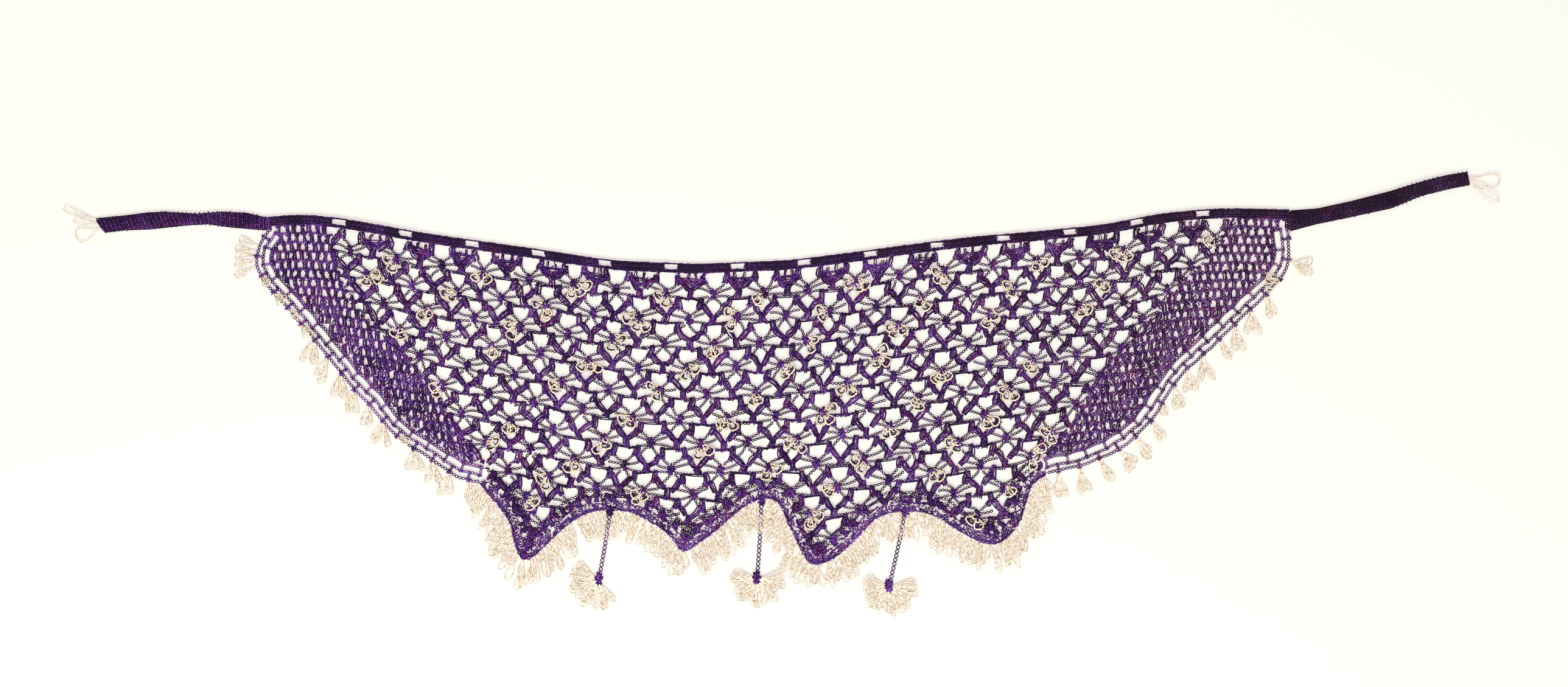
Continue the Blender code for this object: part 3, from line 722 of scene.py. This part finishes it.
def bundle(strands, line, kind, wider=1.0):
    """Strands side by side along a line, the outer ones dark as painted shade at the bundle's
    edges, none of them quite even.
    """
    count, spacing, radius, z, flare = BUNDLES[kind]
    spacing *= wider
    rng = strands.random
    line = np.asarray(line, float)
    left = left_of(unit(np.gradient(line, axis=0)))
    flare = np.array(flare)
    rise = hump(len(line))
    for i in range(count):
        place = i - (count - 1) / 2
        outer = i in (0, count - 1)
        # Painted shade: the outer strands darker, a dark outline at the bundle's edges.
        tone = rng.uniform(-0.5, 0.1) if outer else rng.uniform(0.3, 1.0)
        off = place * spacing * flare + about(rng, 0.25) + about(rng, 0.6) * rise
        plan = line + left * off[:, None]
        height = z + about(rng, 0.35) + 0.4 * rise
        strands.add(np.column_stack([plan, height]), radius * rng.uniform(0.82, 1.15), tone)


def wraps(strands, line, kind, wider=1.0):
    """Short strands that cross a bundle slantwise and stand out at its edges."""
    count, length, radius, z, reach = WRAPS[kind]
    reach *= wider
    rng = strands.random
    line = np.asarray(line, float)
    for i in range(count):
        where = (i + rng.uniform(0.1, 0.9)) / count * (len(line) - 1)
        k = min(int(where), len(line) - 2)
        x, y = line[k] + (line[k + 1] - line[k]) * (where - k)
        dx, dy = line[k + 1] - line[k]
        angle = math.atan2(dy, dx) + math.radians(rng.choice((-1, 1)) * rng.uniform(15, 60))
        out = about(rng, reach) / math.hypot(dx, dy)
        strands.leaf(
            x - dy * out, y + dx * out, z + rng.uniform(-0.2, 0.4), angle,
            length * rng.uniform(0.7, 1.1), radius, 0.5, rng.uniform(0.0, 1.0))


def lace_repeat(posts, legs, knots, column, row):
    """The crochet of one lace repeat about its knot, with the post on its right."""
    x, y, kx, ky, slope = knot_place(column, row)
    rng = posts.random
    full = 1 + FULLER_AT_ENDS * (x / LACE_HALF_SPAN) ** 2

    def place(px, py, loose=0.0):
        px += about(rng, loose)
        py += about(rng, loose)
        return sway(x + (px + LEAN * py) * kx, y + py * ky + slope * px * kx)

    for side in (-1, 1):
        for block in (UPPER_BLOCK, LOWER_BLOCK):
            line = [place(side * px, py, 0.5) for px, py in block]
            bundle(posts, line, "block", full)
            wraps(posts, line, "block", full)
        for start, end in CHAIN_LEGS:
            legs.chain(
                place(side * start[0], start[1]), place(side * end[0], end[1], 0.8),
                "lace leg", rng.uniform(-0.2, 0.5), about(rng, 1.2))
    half = COLUMN_PITCH / 2
    post = [place(half, py, 0.5) for py in (POST_TOP, 1.0, -2.5, POST_BOTTOM)]
    bundle(posts, post, "post")
    wraps(posts, post, "post")
    bar = np.linspace(place(half - BAR_HALF, BAR_Y, 0.3), place(half + BAR_HALF, BAR_Y, 0.3), 5)
    bundle(posts, bar, "bar")
    wraps(posts, bar, "bar")
    if row == 1:
        top_bars(posts, place, half)
    knot(knots, *sway(x, y))


def top_bars(posts, place, half):
    """The crown of bars and rows that hangs a first-row post from the waistband."""
    for side in (-1, 1):
        px = half + side * 3.9
        bar = [place(px, 20.8, 0.4), place(px, 17.0, 0.4), place(px - side * 0.4, 12.5, 0.4)]
        bundle(posts, bar, "crown bar")
        slope = [place(half + side * out, py) for out, py in ((8.5, 12.6), (4.5, 9.6), (1, 6))]
        bundle(posts, slope, "crown slope")
        wraps(posts, slope, "crown slope")
    for py, reach, kind in CROWN_ROWS:
        row = np.linspace(place(half - reach, py), place(half + reach, py), 5)
        bundle(posts, row, "crown row")
        wraps(posts, row, kind)


def knot(knots, x, y):
    """The dark knot at the middle of a lace repeat."""
    rng = knots.random
    for i in range(9):
        angle = math.radians(10 + 40 * i) + about(rng, 0.25)
        knots.leaf(
            x + 2.0 * math.cos(angle), y + 3.6 * math.sin(angle), 1.8, angle,
            rng.uniform(4.0, 5.8), 1.35, 0.4, rng.uniform(-0.2, 0.5))
    for i in range(7):
        angle = rng.uniform(0, math.pi)
        knots.leaf(x + about(rng, 2.0), y + about(rng, 3.8), 2.4 + 0.12 * i,
                   angle, 4.8, 0.95, 0.5, rng.uniform(0.0, 0.9))


def make_lace(yarn):
    ring = lace_ring()
    posts = {-1: Strands(41, ring), 1: Strands(45, ring)}
    legs = {-1: Strands(42, ring), 1: Strands(43, ring)}
    knots = Strands(44, ring)
    for row in range(1, LACE_ROWS + 1):
        shift = 0.0 if row % 2 else 0.5
        for number in range(COLUMNS[0][0], COLUMNS[-1][0]):
            column = number + shift
            half = 1 if column_x(column, row) > 0 else -1
            lace_repeat(posts[half], legs[half], knots, column, row)
    hem_rows(posts, legs)
    lace = posts[-1].build("lace_posts_left", yarn["lace"], "lace_yarn")
    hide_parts("lace_body")
    parts = [
        posts[1].build("lace_posts_right", yarn["lace"], "lace_yarn"),
        legs[-1].build("lace_chains_left", yarn["chain"], "lace_yarn"),
        legs[1].build("lace_chains_right", yarn["chain"], "lace_yarn"),
        knots.build("lace_knots", yarn["lace"], "lace_yarn"),
    ]


def net_ring(side):
    """Outline of a side net: its ladder, its seam, and up under the waistband."""
    left = side == "left"
    edge = Line(LEFT_EDGE if left else RIGHT_EDGE)
    inner = edge.at(np.linspace(0.0, edge.length, 120), LADDER_WIDTH - 1.2)
    seam = smooth(LEFT_SEAM) + (OVERLAP, 0) if left else smooth(RIGHT_SEAM) - (OVERLAP, 0)
    side_line = inner if left else inner[::-1]
    ends = sorted((side_line[0, 0], seam[0, 0]))
    waist = Line(WAIST).at(np.linspace(0.0, 996.0, 400), UNDER_BAND)
    top = waist[(waist[:, 0] > ends[0]) & (waist[:, 0] < ends[1])]
    top = top[::-1] if left else top
    tip = edge.points[0 if left else -1]
    corner = np.array([(tip[0], np.interp(tip[0], *waist.T)), tip])
    return np.concatenate([corner, side_line, seam[::-1], top])


def make_net(side, yarn):
    """Bars and small chains in rows that follow the waist, kept inside the net's outline."""
    left = side == "left"
    ring = net_ring(side)
    strands = Strands(51 if left else 52, ring)
    rng = strands.random
    low, high = ring[:, 0].min(), ring[:, 0].max()
    columns = int((high - low) / NET_PITCH) + 2
    for row in range(NET_ROWS):
        for i in range(columns):
            x = low + (i + NET_SHIFT * row % 1) * NET_PITCH + about(rng, 0.7)
            top = float(np.interp(x, *WAIST_CURVE.T)) - BAND_DEPTH + 0.5 - row * NET_DROP
            top += about(rng, 0.6)
            if inside(np.array([[x, top - NET_DROP / 2]]), ring)[0]:
                net_cell(strands, x, top, row, left)
    net = strands.build(f"side_net_{side}_yarn", yarn["lace"], "dense_yarn")
    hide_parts(f"side_net_{side}")


def net_cell(strands, x, top, row, left):
    """One bar of the net with the knots on its head and the small chain to the next bar."""
    rng = strands.random
    lean = rng.uniform(-0.9, 1.5)
    foot = top - NET_DROP
    if left or rng.random() < 0.4:
        bar = [(x, top), (x + lean * 0.3, top - NET_DROP * 0.4), (x + lean, foot)]
        bundle(strands, bar, "low net bar" if row > NET_LOW_ROW else "net bar")
        wraps(strands, bar, "net bar")
    else:
        strands.chain((x, top - 0.5), (x + lean, foot + 0.5), "net bar")
        wraps(strands, [(x, top), (x + lean, foot)], "net chain")
    link_end = (x + NET_PITCH - 0.8, top + rng.uniform(-0.8, 0.4))
    strands.chain((x + 1.0, top), link_end, "net link")
    for dx, dy, angle in ((0.0, 0.0, 0.4), (1.4, -1.4, -0.9), (-1.2, -1.3, 0.9)):
        strands.leaf(x + dx, top + dy, 2.0, angle + about(rng, 0.5),
                     rng.uniform(3.6, 5.0), 0.92, 0.5)
    if rng.random() < min((row - 6) * 0.13, 0.8):
        middle = [(x + NET_PITCH / 2, top - 1), (x + NET_PITCH / 2, foot + 1)]
        wraps(strands, middle, "net filling")


def make_ladder(side, yarn):
    """Two staggered rows of cells in chain cord along a side edge."""
    left = side == "left"
    line = Line(LEFT_EDGE if left else RIGHT_EDGE)
    strands = Strands(61 if left else 62)
    rng = strands.random
    pitch = line.length / LADDER_CELLS
    outer, middle, inner = LADDER_LINES
    for depth, shift, bow in ((outer, 0.5, -0.4), (middle, 0.0, 0.7), (inner, 0.0, 0.5)):
        for i in range(-1, LADDER_CELLS):
            s0 = max((i + shift) * pitch, 0.0)
            s1 = min((i + 1 + shift) * pitch, line.length)
            if s1 - s0 < 2:
                continue
            s = np.linspace(s0, s1, 9)
            arc = hump(9) * (bow + about(rng, 1.0))
            strands.chain_along(line.at(s, depth + arc), "ladder")
            if depth == inner:
                strands.chain_along(line.at(s, depth + arc - 1.3), "ladder inner")
    for i in range(LADDER_CELLS + 1):
        for shift, near, far in ((0.5, outer, middle), (0.0, middle, inner)):
            s = (i + shift) * pitch
            if s > line.length:
                continue
            ends = line.at(np.array([s, s]), (near, far))
            strands.chain(ends[0], ends[1], "ladder bar", bow=about(rng, 0.9))
            for x, y in ends:
                for k in range(4):
                    angle = rng.uniform(0, math.pi)
                    strands.leaf(x, y, 1.7 + 0.2 * k, angle, 4.4, 0.72, 0.5)
            if shift:
                picot(strands, line, s)
    ladder = strands.build(f"ladder_{side}_yarn", yarn["lace"], "lace_yarn")
    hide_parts(f"ladder_{side}")


def picot(strands, line, s):
    """A small tight lump of yarn on the outer edge, where a group of bead loops hangs."""
    rng = strands.random
    for _ in range(4):
        x, y = line.at(s + about(rng, 1.2), rng.uniform(-1.4, 0.2))
        strands.leaf(x, y, 1.9, rng.uniform(0, math.pi), 3.4, 0.8, 0.4, rng.uniform(0.5, 1.0))


def drop_path(root, angle, length, width, bend, count=17):
    """A drop-shaped loop in plan that leaves its root and comes back to it."""
    t = np.linspace(0.0, 1.0, count)
    forward = length * np.sin(math.pi * t) ** 0.85
    across = width / 2 * np.sin(2 * math.pi * t) * (0.45 + 0.75 * np.sin(math.pi * t))
    across += bend * (forward / length) ** 2
    c, s = math.cos(angle), math.sin(angle)
    return np.stack([root[0] + forward * c - across * s, root[1] + forward * s + across * c], 1)


def bead_loop(strands, root, angle, length, width, z, size=BEAD, rings=1):
    """A loop of strung beads, or two side by side one inside the other."""
    bend = strands.random.uniform(-BEND, BEND) * length
    for ring in range(rings):
        path = drop_path(root, angle, length - ring * 2.2 * size, width - ring * 1.9 * size, bend)
        strands.beads(path, 0.9 + z * hump(len(path)), size)


def make_hem_beads(glass):
    """Thick bead fringe under the hem, in overlapping loops of uneven length."""
    hem = Line(HEM)
    steps = distances(HEM)
    marks = np.interp(HEM_CORNERS, np.arange(len(HEM)), steps) * hem.length / steps[-1]
    for number, (start, stop) in enumerate(zip(marks, marks[1:]), start=1):
        strands = Strands(70 + number)
        rng = strands.random
        s = start + 1.2
        while s < stop - 0.5:
            hx, hy = hem.heading(s, 12.0)
            out = np.array([hy, -hx]) * (1 - HEM_DOWNWARD) + np.array([0.0, -HEM_DOWNWARD])
            angle = math.atan2(out[1], out[0])
            for low, high, z in HEM_LAYERS:
                turn = angle + rng.gauss(0.0, 0.2)
                root = hem.at(s + about(rng, 1.5), rng.uniform(-1.5, 0.5))
                bead_loop(strands, root, turn, rng.uniform(low, high), rng.uniform(3.8, 6.8),
                          z + rng.uniform(0.0, 0.8))
            s += HEM_LOOP_STEP
        piece = strands.build(f"hem_beads_{number}", glass, "beads")
        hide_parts(f"fringe_hem_{number}")


def make_side_beads(side, glass):
    """Groups of bead loops at the ladder's nodes, and the few that are folded onto the cloth."""
    left = side == "left"
    line = Line(LEFT_EDGE if left else RIGHT_EDGE)
    pitch = line.length / LADDER_CELLS
    for part, groups in SIDE_GROUPS[side].items():
        strands = Strands({"side": 81, "corner": 83}[part] + (0 if left else 1))
        rng = strands.random
        for cell, degrees, length, count, height in groups:
            for i in range(count):
                fan = (i - (count - 1) / 2) * (13 if left or part == "side" else 20)
                angle = math.radians(degrees + fan + about(rng, 8))
                shift = (i - (count - 1) / 2) * (4.6 if count > 3 else 2.0) * (1 if left else -1)
                root = line.at((cell + 0.5) * pitch + shift, rng.uniform(-0.8, 0.4))
                bead_loop(strands, root, angle, length * rng.uniform(0.85, 1.1),
                          rng.uniform(5.5, 8.0), height + rng.uniform(0.2, 1.0), BEAD, 2)
        piece = strands.build(f"{part}_beads_{side}", glass, "beads")
        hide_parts(f"fringe_{part}_{side}")


def make_tassel(row, yarn, glass):
    name, hem_end, head, first, last, count, length = row
    strands = Strands(90 + int(name))
    rng = strands.random
    for i in range(count):
        turn = math.radians(first + (last - first) * i / (count - 1) + about(rng, 5))
        angle = -math.pi / 2 - turn
        root = (head[0] + 2.0 * math.cos(angle), head[1] + 2.0 * math.sin(angle))
        bead_loop(strands, root, angle, length * rng.uniform(0.78, 1.02), rng.uniform(5.5, 8.0),
                  rng.uniform(0.4, 2.6), BEAD, 2)
    piece = strands.build(f"tassel_beads_{name}", glass, "beads")
    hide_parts(f"tassel_{name}")
    cord = Strands(95 + int(name))
    start, end = np.array(hem_end), np.array(head)
    cord.chain(start, end, "tassel cord", bow=0.5)
    knot(cord, head[0], head[1])
    knot(cord, head[0], head[1] + 2.2)
    knot(cord, hem_end[0], hem_end[1])
    piece = cord.build(f"tassel_cord_{name}_yarn", yarn["lace"], "lace_yarn")
    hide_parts(f"tassel_cord_{name}")


def make_tie_beads(side, glass):
    strands = Strands(101 if side == "left" else 102)
    rng = strands.random
    for x, y, degrees, length, width in TIE_END_LOOPS[side]:
        bead_loop(strands, (x, y), math.radians(degrees), length, width, rng.uniform(0.5, 2.0))
    piece = strands.build(f"tie_end_beads_{side}", glass, "beads")
    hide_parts(f"tie_beads_{side}")


def make_bead_drops(yarn, glass):
    """Small clusters of bead loops on every second knot, shifted half a column each row."""
    strands = Strands(111)
    threads_and_shadows = Strands(112)
    rng = strands.random
    ring = lace_ring()
    for row in range(1, LACE_ROWS + 1):
        first = DROP_PHASE - 0.5 * (row - 1)
        for i in range(-12, 12):
            column = first + 2 * i
            if not COLUMNS[0][0] <= column <= COLUMNS[-1][0] - 1:
                continue
            x, y = sway(*knot_place(column, row)[:2])
            if not inside(np.array([[x, y - 14]]), ring)[0] or rng.random() < DROP_MISSING:
                continue
            lean = about(rng, 0.9) - math.pi / 2
            for k in range(rng.choice((2, 2, 3))):
                angle = lean + (k - 0.7) * 0.75 + about(rng, 0.25)
                root = (x + about(rng, 2), y + rng.uniform(0, 6))
                length, width = rng.uniform(12, 16), rng.uniform(7.5, 10.5)
                bead_loop(strands, root, angle, length, width, 2.4 + rng.uniform(0, 1.2),
                          DROP_BEAD, 2)
                # A dark strand just inside each loop: partly the yarn the beads lie on, partly a
                # painted shadow that outlines the loop.
                thread_and_shadow = drop_path(root, angle, length - 1.6, width - 1.4, 0.0, 11)
                threads_and_shadows.add(np.column_stack([thread_and_shadow, np.full(len(thread_and_shadow), 1.9)]), 0.8, 0.0)
    threads_and_shadows.build("lace_drop_threads_and_shadows", yarn["chain"], "lace_yarn")
    strands.build("lace_bead_drops", glass, "beads")


def node(tree, kind, **settings):
    """A node, set to the right of those made before it."""
    made = tree.nodes.new(kind)
    made.location = (NODE_STEP * len(tree.nodes), NODE_ROW)
    for name, value in settings.items():
        setattr(made, name, value)
    return made


def set_inputs(made, values):
    for name, value in values.items():
        made.inputs[name].default_value = value


def math_node(tree, first, second=0.0, third=0.0, operation="MULTIPLY_ADD"):
    """A math node whose inputs are numbers or other nodes' outputs."""
    made = node(tree, "ShaderNodeMath", operation=operation)
    for socket, value in zip(made.inputs, (first, second, third)):
        if isinstance(value, float):
            socket.default_value = value
        else:
            tree.links.new(value, socket)
    return made.outputs[0]


def axis_node(tree, vector, axis):
    """One coordinate of a vector."""
    made = node(tree, "ShaderNodeSeparateXYZ")
    tree.links.new(vector, made.inputs[0])
    return made.outputs[axis]


def clamp_node(tree, value, most):
    """A value held between 0 and a limit."""
    made = node(tree, "ShaderNodeClamp")
    made.inputs["Max"].default_value = most
    tree.links.new(value, made.inputs["Value"])
    return made.outputs["Result"]


def noise_node(tree, place, scale, detail):
    made = node(tree, "ShaderNodeTexNoise")
    set_inputs(made, {"Scale": scale, "Detail": detail})
    tree.links.new(place, made.inputs["Vector"])
    return made.outputs["Fac"]


def tint_node(tree, factor, colour, tint):
    """A colour multiplied by a tint, as far as the factor says."""
    made = node(tree, "ShaderNodeMix", data_type="RGBA", blend_type="MULTIPLY")
    tree.links.new(factor, made.inputs[0])
    tree.links.new(colour, made.inputs[6])
    made.inputs[7].default_value = tint
    return made.outputs[2]


def ramp_node(tree, value, shades):
    """Colours for a value: those of the ramp's two ends, then one between them."""
    made = node(tree, "ShaderNodeValToRGB")
    stops = made.color_ramp.elements
    for stop, (position, colour) in zip(stops, shades[:2]):
        stop.position = position
        stop.color = (*colour, 1)
    position, colour = shades[2]
    stops.new(position).color = (*colour, 1)
    tree.links.new(value, made.inputs["Fac"])
    return made.outputs["Color"]


def flank_shade_mask(tree):
    """Mask of the painted shade: 1 on the flanks of a strand or a bead, falling to 0 on its top."""
    normal = node(tree, "ShaderNodeNewGeometry").outputs["Normal"]
    steep = math_node(tree, axis_node(tree, normal, "Z"), *FLANK_SHADE_LINE)
    return clamp_node(tree, steep, 1.0)


def new_material(name):
    material = bpy.data.materials.new(name)
    material.use_nodes = True
    tree = material.node_tree
    return material, tree, tree.nodes["Principled BSDF"]


def yarn_material(name, dark, middle, light, warmth, sheen):
    """Soft yarn: shades from strand to strand, warmer patches, plies wound round each strand with
    painted shade in their grooves, painted shade on each strand's flanks, and a painted warmer cast
    of light towards the right.
    """
    material, tree, shader = new_material(name)
    tone = node(tree, "ShaderNodeAttribute", attribute_name="tone").outputs["Fac"]
    place = node(tree, "ShaderNodeTexCoord").outputs["Object"]
    spread = math_node(tree, noise_node(tree, place, *SHADE_NOISE), *SHADE_LINE)
    shade = math_node(tree, tone, TONE_SHARE, spread)
    colour = ramp_node(tree, shade, [(0.0, dark), (1.0, light), (0.5, middle)])
    warm = math_node(tree, noise_node(tree, place, *WARM_NOISE), *WARM_LINE)
    colour = tint_node(tree, clamp_node(tree, warm, warmth), colour, WARM_TINT)
    uv = node(tree, "ShaderNodeUVMap", uv_map="strand").outputs["UV"]
    length = math_node(tree, axis_node(tree, uv, "Y"), 2 * math.pi / PLY_TWIST)
    turns = math_node(tree, axis_node(tree, uv, "X"), 4 * math.pi, length)
    plies = math_node(tree, turns, operation="SINE")
    # Painted shade in the grooves between the plies; the bump below gives their relief.
    groove_shade = math_node(tree, plies, *GROOVE_SHADE_LINE)
    colour = tint_node(tree, groove_shade, colour, GROOVE_SHADE_TINT)
    # Painted shade: each strand darkened on its flanks, so that it shows a dark outline.
    colour = tint_node(tree, flank_shade_mask(tree), colour, FLANK_SHADE_TINT)
    # Painted light: the yarn takes a warmer, greyer cast towards the right side.
    right = math_node(tree, axis_node(tree, place, "X"), *RIGHT_CAST_LINE)
    colour = tint_node(tree, clamp_node(tree, right, 1.0), colour, RIGHT_LIGHT_CAST)
    tree.links.new(colour, shader.inputs["Base Color"])
    bump = node(tree, "ShaderNodeBump")
    set_inputs(bump, BUMP_INPUTS)
    tree.links.new(plies, bump.inputs["Height"])
    tree.links.new(bump.outputs["Normal"], shader.inputs["Normal"])
    set_inputs(shader, {**YARN_INPUTS, "Sheen Weight": sheen})
    return material


def glass_material():
    """Pale cream seed beads that let light through, some of them warmer or greyer, and that glow a
    little in their own colour: painted light.
    """
    material, tree, shader = new_material("bead_glass")
    place = node(tree, "ShaderNodeTexCoord").outputs["Object"]
    colour = ramp_node(tree, noise_node(tree, place, *GLASS_NOISE), GLASS_SHADES)
    # Painted shade, warm golden, on the flanks of each bead.
    colour = tint_node(tree, flank_shade_mask(tree), colour, BEAD_FLANK_SHADE_TINT)
    # Painted light: the beads glow in their own colour.
    for name in ("Base Color", "Emission Color"):
        tree.links.new(colour, shader.inputs[name])
    set_inputs(shader, GLASS_AND_GLOW_INPUTS)
    return material


def make_floor():
    bpy.ops.mesh.primitive_plane_add(size=FLOOR_SIZE, location=(0, 0, 0))
    floor = bpy.context.object
    floor.name = "floor"
    material, _, shader = new_material("pale_floor")
    set_inputs(shader, FLOOR_INPUTS)
    floor.data.materials.append(material)


def make_light():
    world = bpy.data.worlds.new("studio")
    bpy.context.scene.world = world
    world.use_nodes = True
    set_inputs(world.node_tree.nodes["Background"], SKY_INPUTS)
    data = bpy.data.lights.new("window", "AREA")
    data.energy = LAMP_POWER
    data.size = LAMP_SIZE
    lamp = bpy.data.objects.new("window", data)
    lamp.location = LAMP_PLACE
    lamp.rotation_euler = [math.radians(angle) for angle in LAMP_TILT]
    bpy.context.scene.collection.objects.link(lamp)
    bpy.context.scene.view_settings.view_transform = "Standard"


def make_camera():
    data = bpy.data.cameras.new("camera")
    data.sensor_width = SENSOR
    data.lens = SENSOR * CAMERA_HEIGHT / VIEW_WIDTH
    camera = bpy.data.objects.new("camera", data)
    camera.location = (*CAMERA_XY, CAMERA_HEIGHT)
    bpy.context.scene.collection.objects.link(camera)
    bpy.context.scene.camera = camera


for old in list(bpy.data.objects):
    bpy.data.objects.remove(old, do_unlink=True)
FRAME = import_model()
BODY = next(iter(FRAME["bodies"]))
TRIANGLES = []
WAIST_CURVE = smooth(WAIST)
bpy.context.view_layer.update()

make_camera()
make_floor()
make_light()
yarns = {name: yarn_material(f"yarn_{name}", *looks) for name, looks in YARNS.items()}
beads = glass_material()
make_waistband(yarns)
make_border(yarns)
make_lace(yarns)
for which in ("left", "right"):
    make_tie(which, yarns)
    make_net(which, yarns)
    make_ladder(which, yarns)
    make_side_beads(which, beads)
    make_tie_beads(which, beads)
make_hem_beads(beads)
for tassel in TASSELS:
    make_tassel(tassel, yarns, beads)
make_bead_drops(yarns, beads)
print(f"all pieces: {sum(TRIANGLES)} triangles")
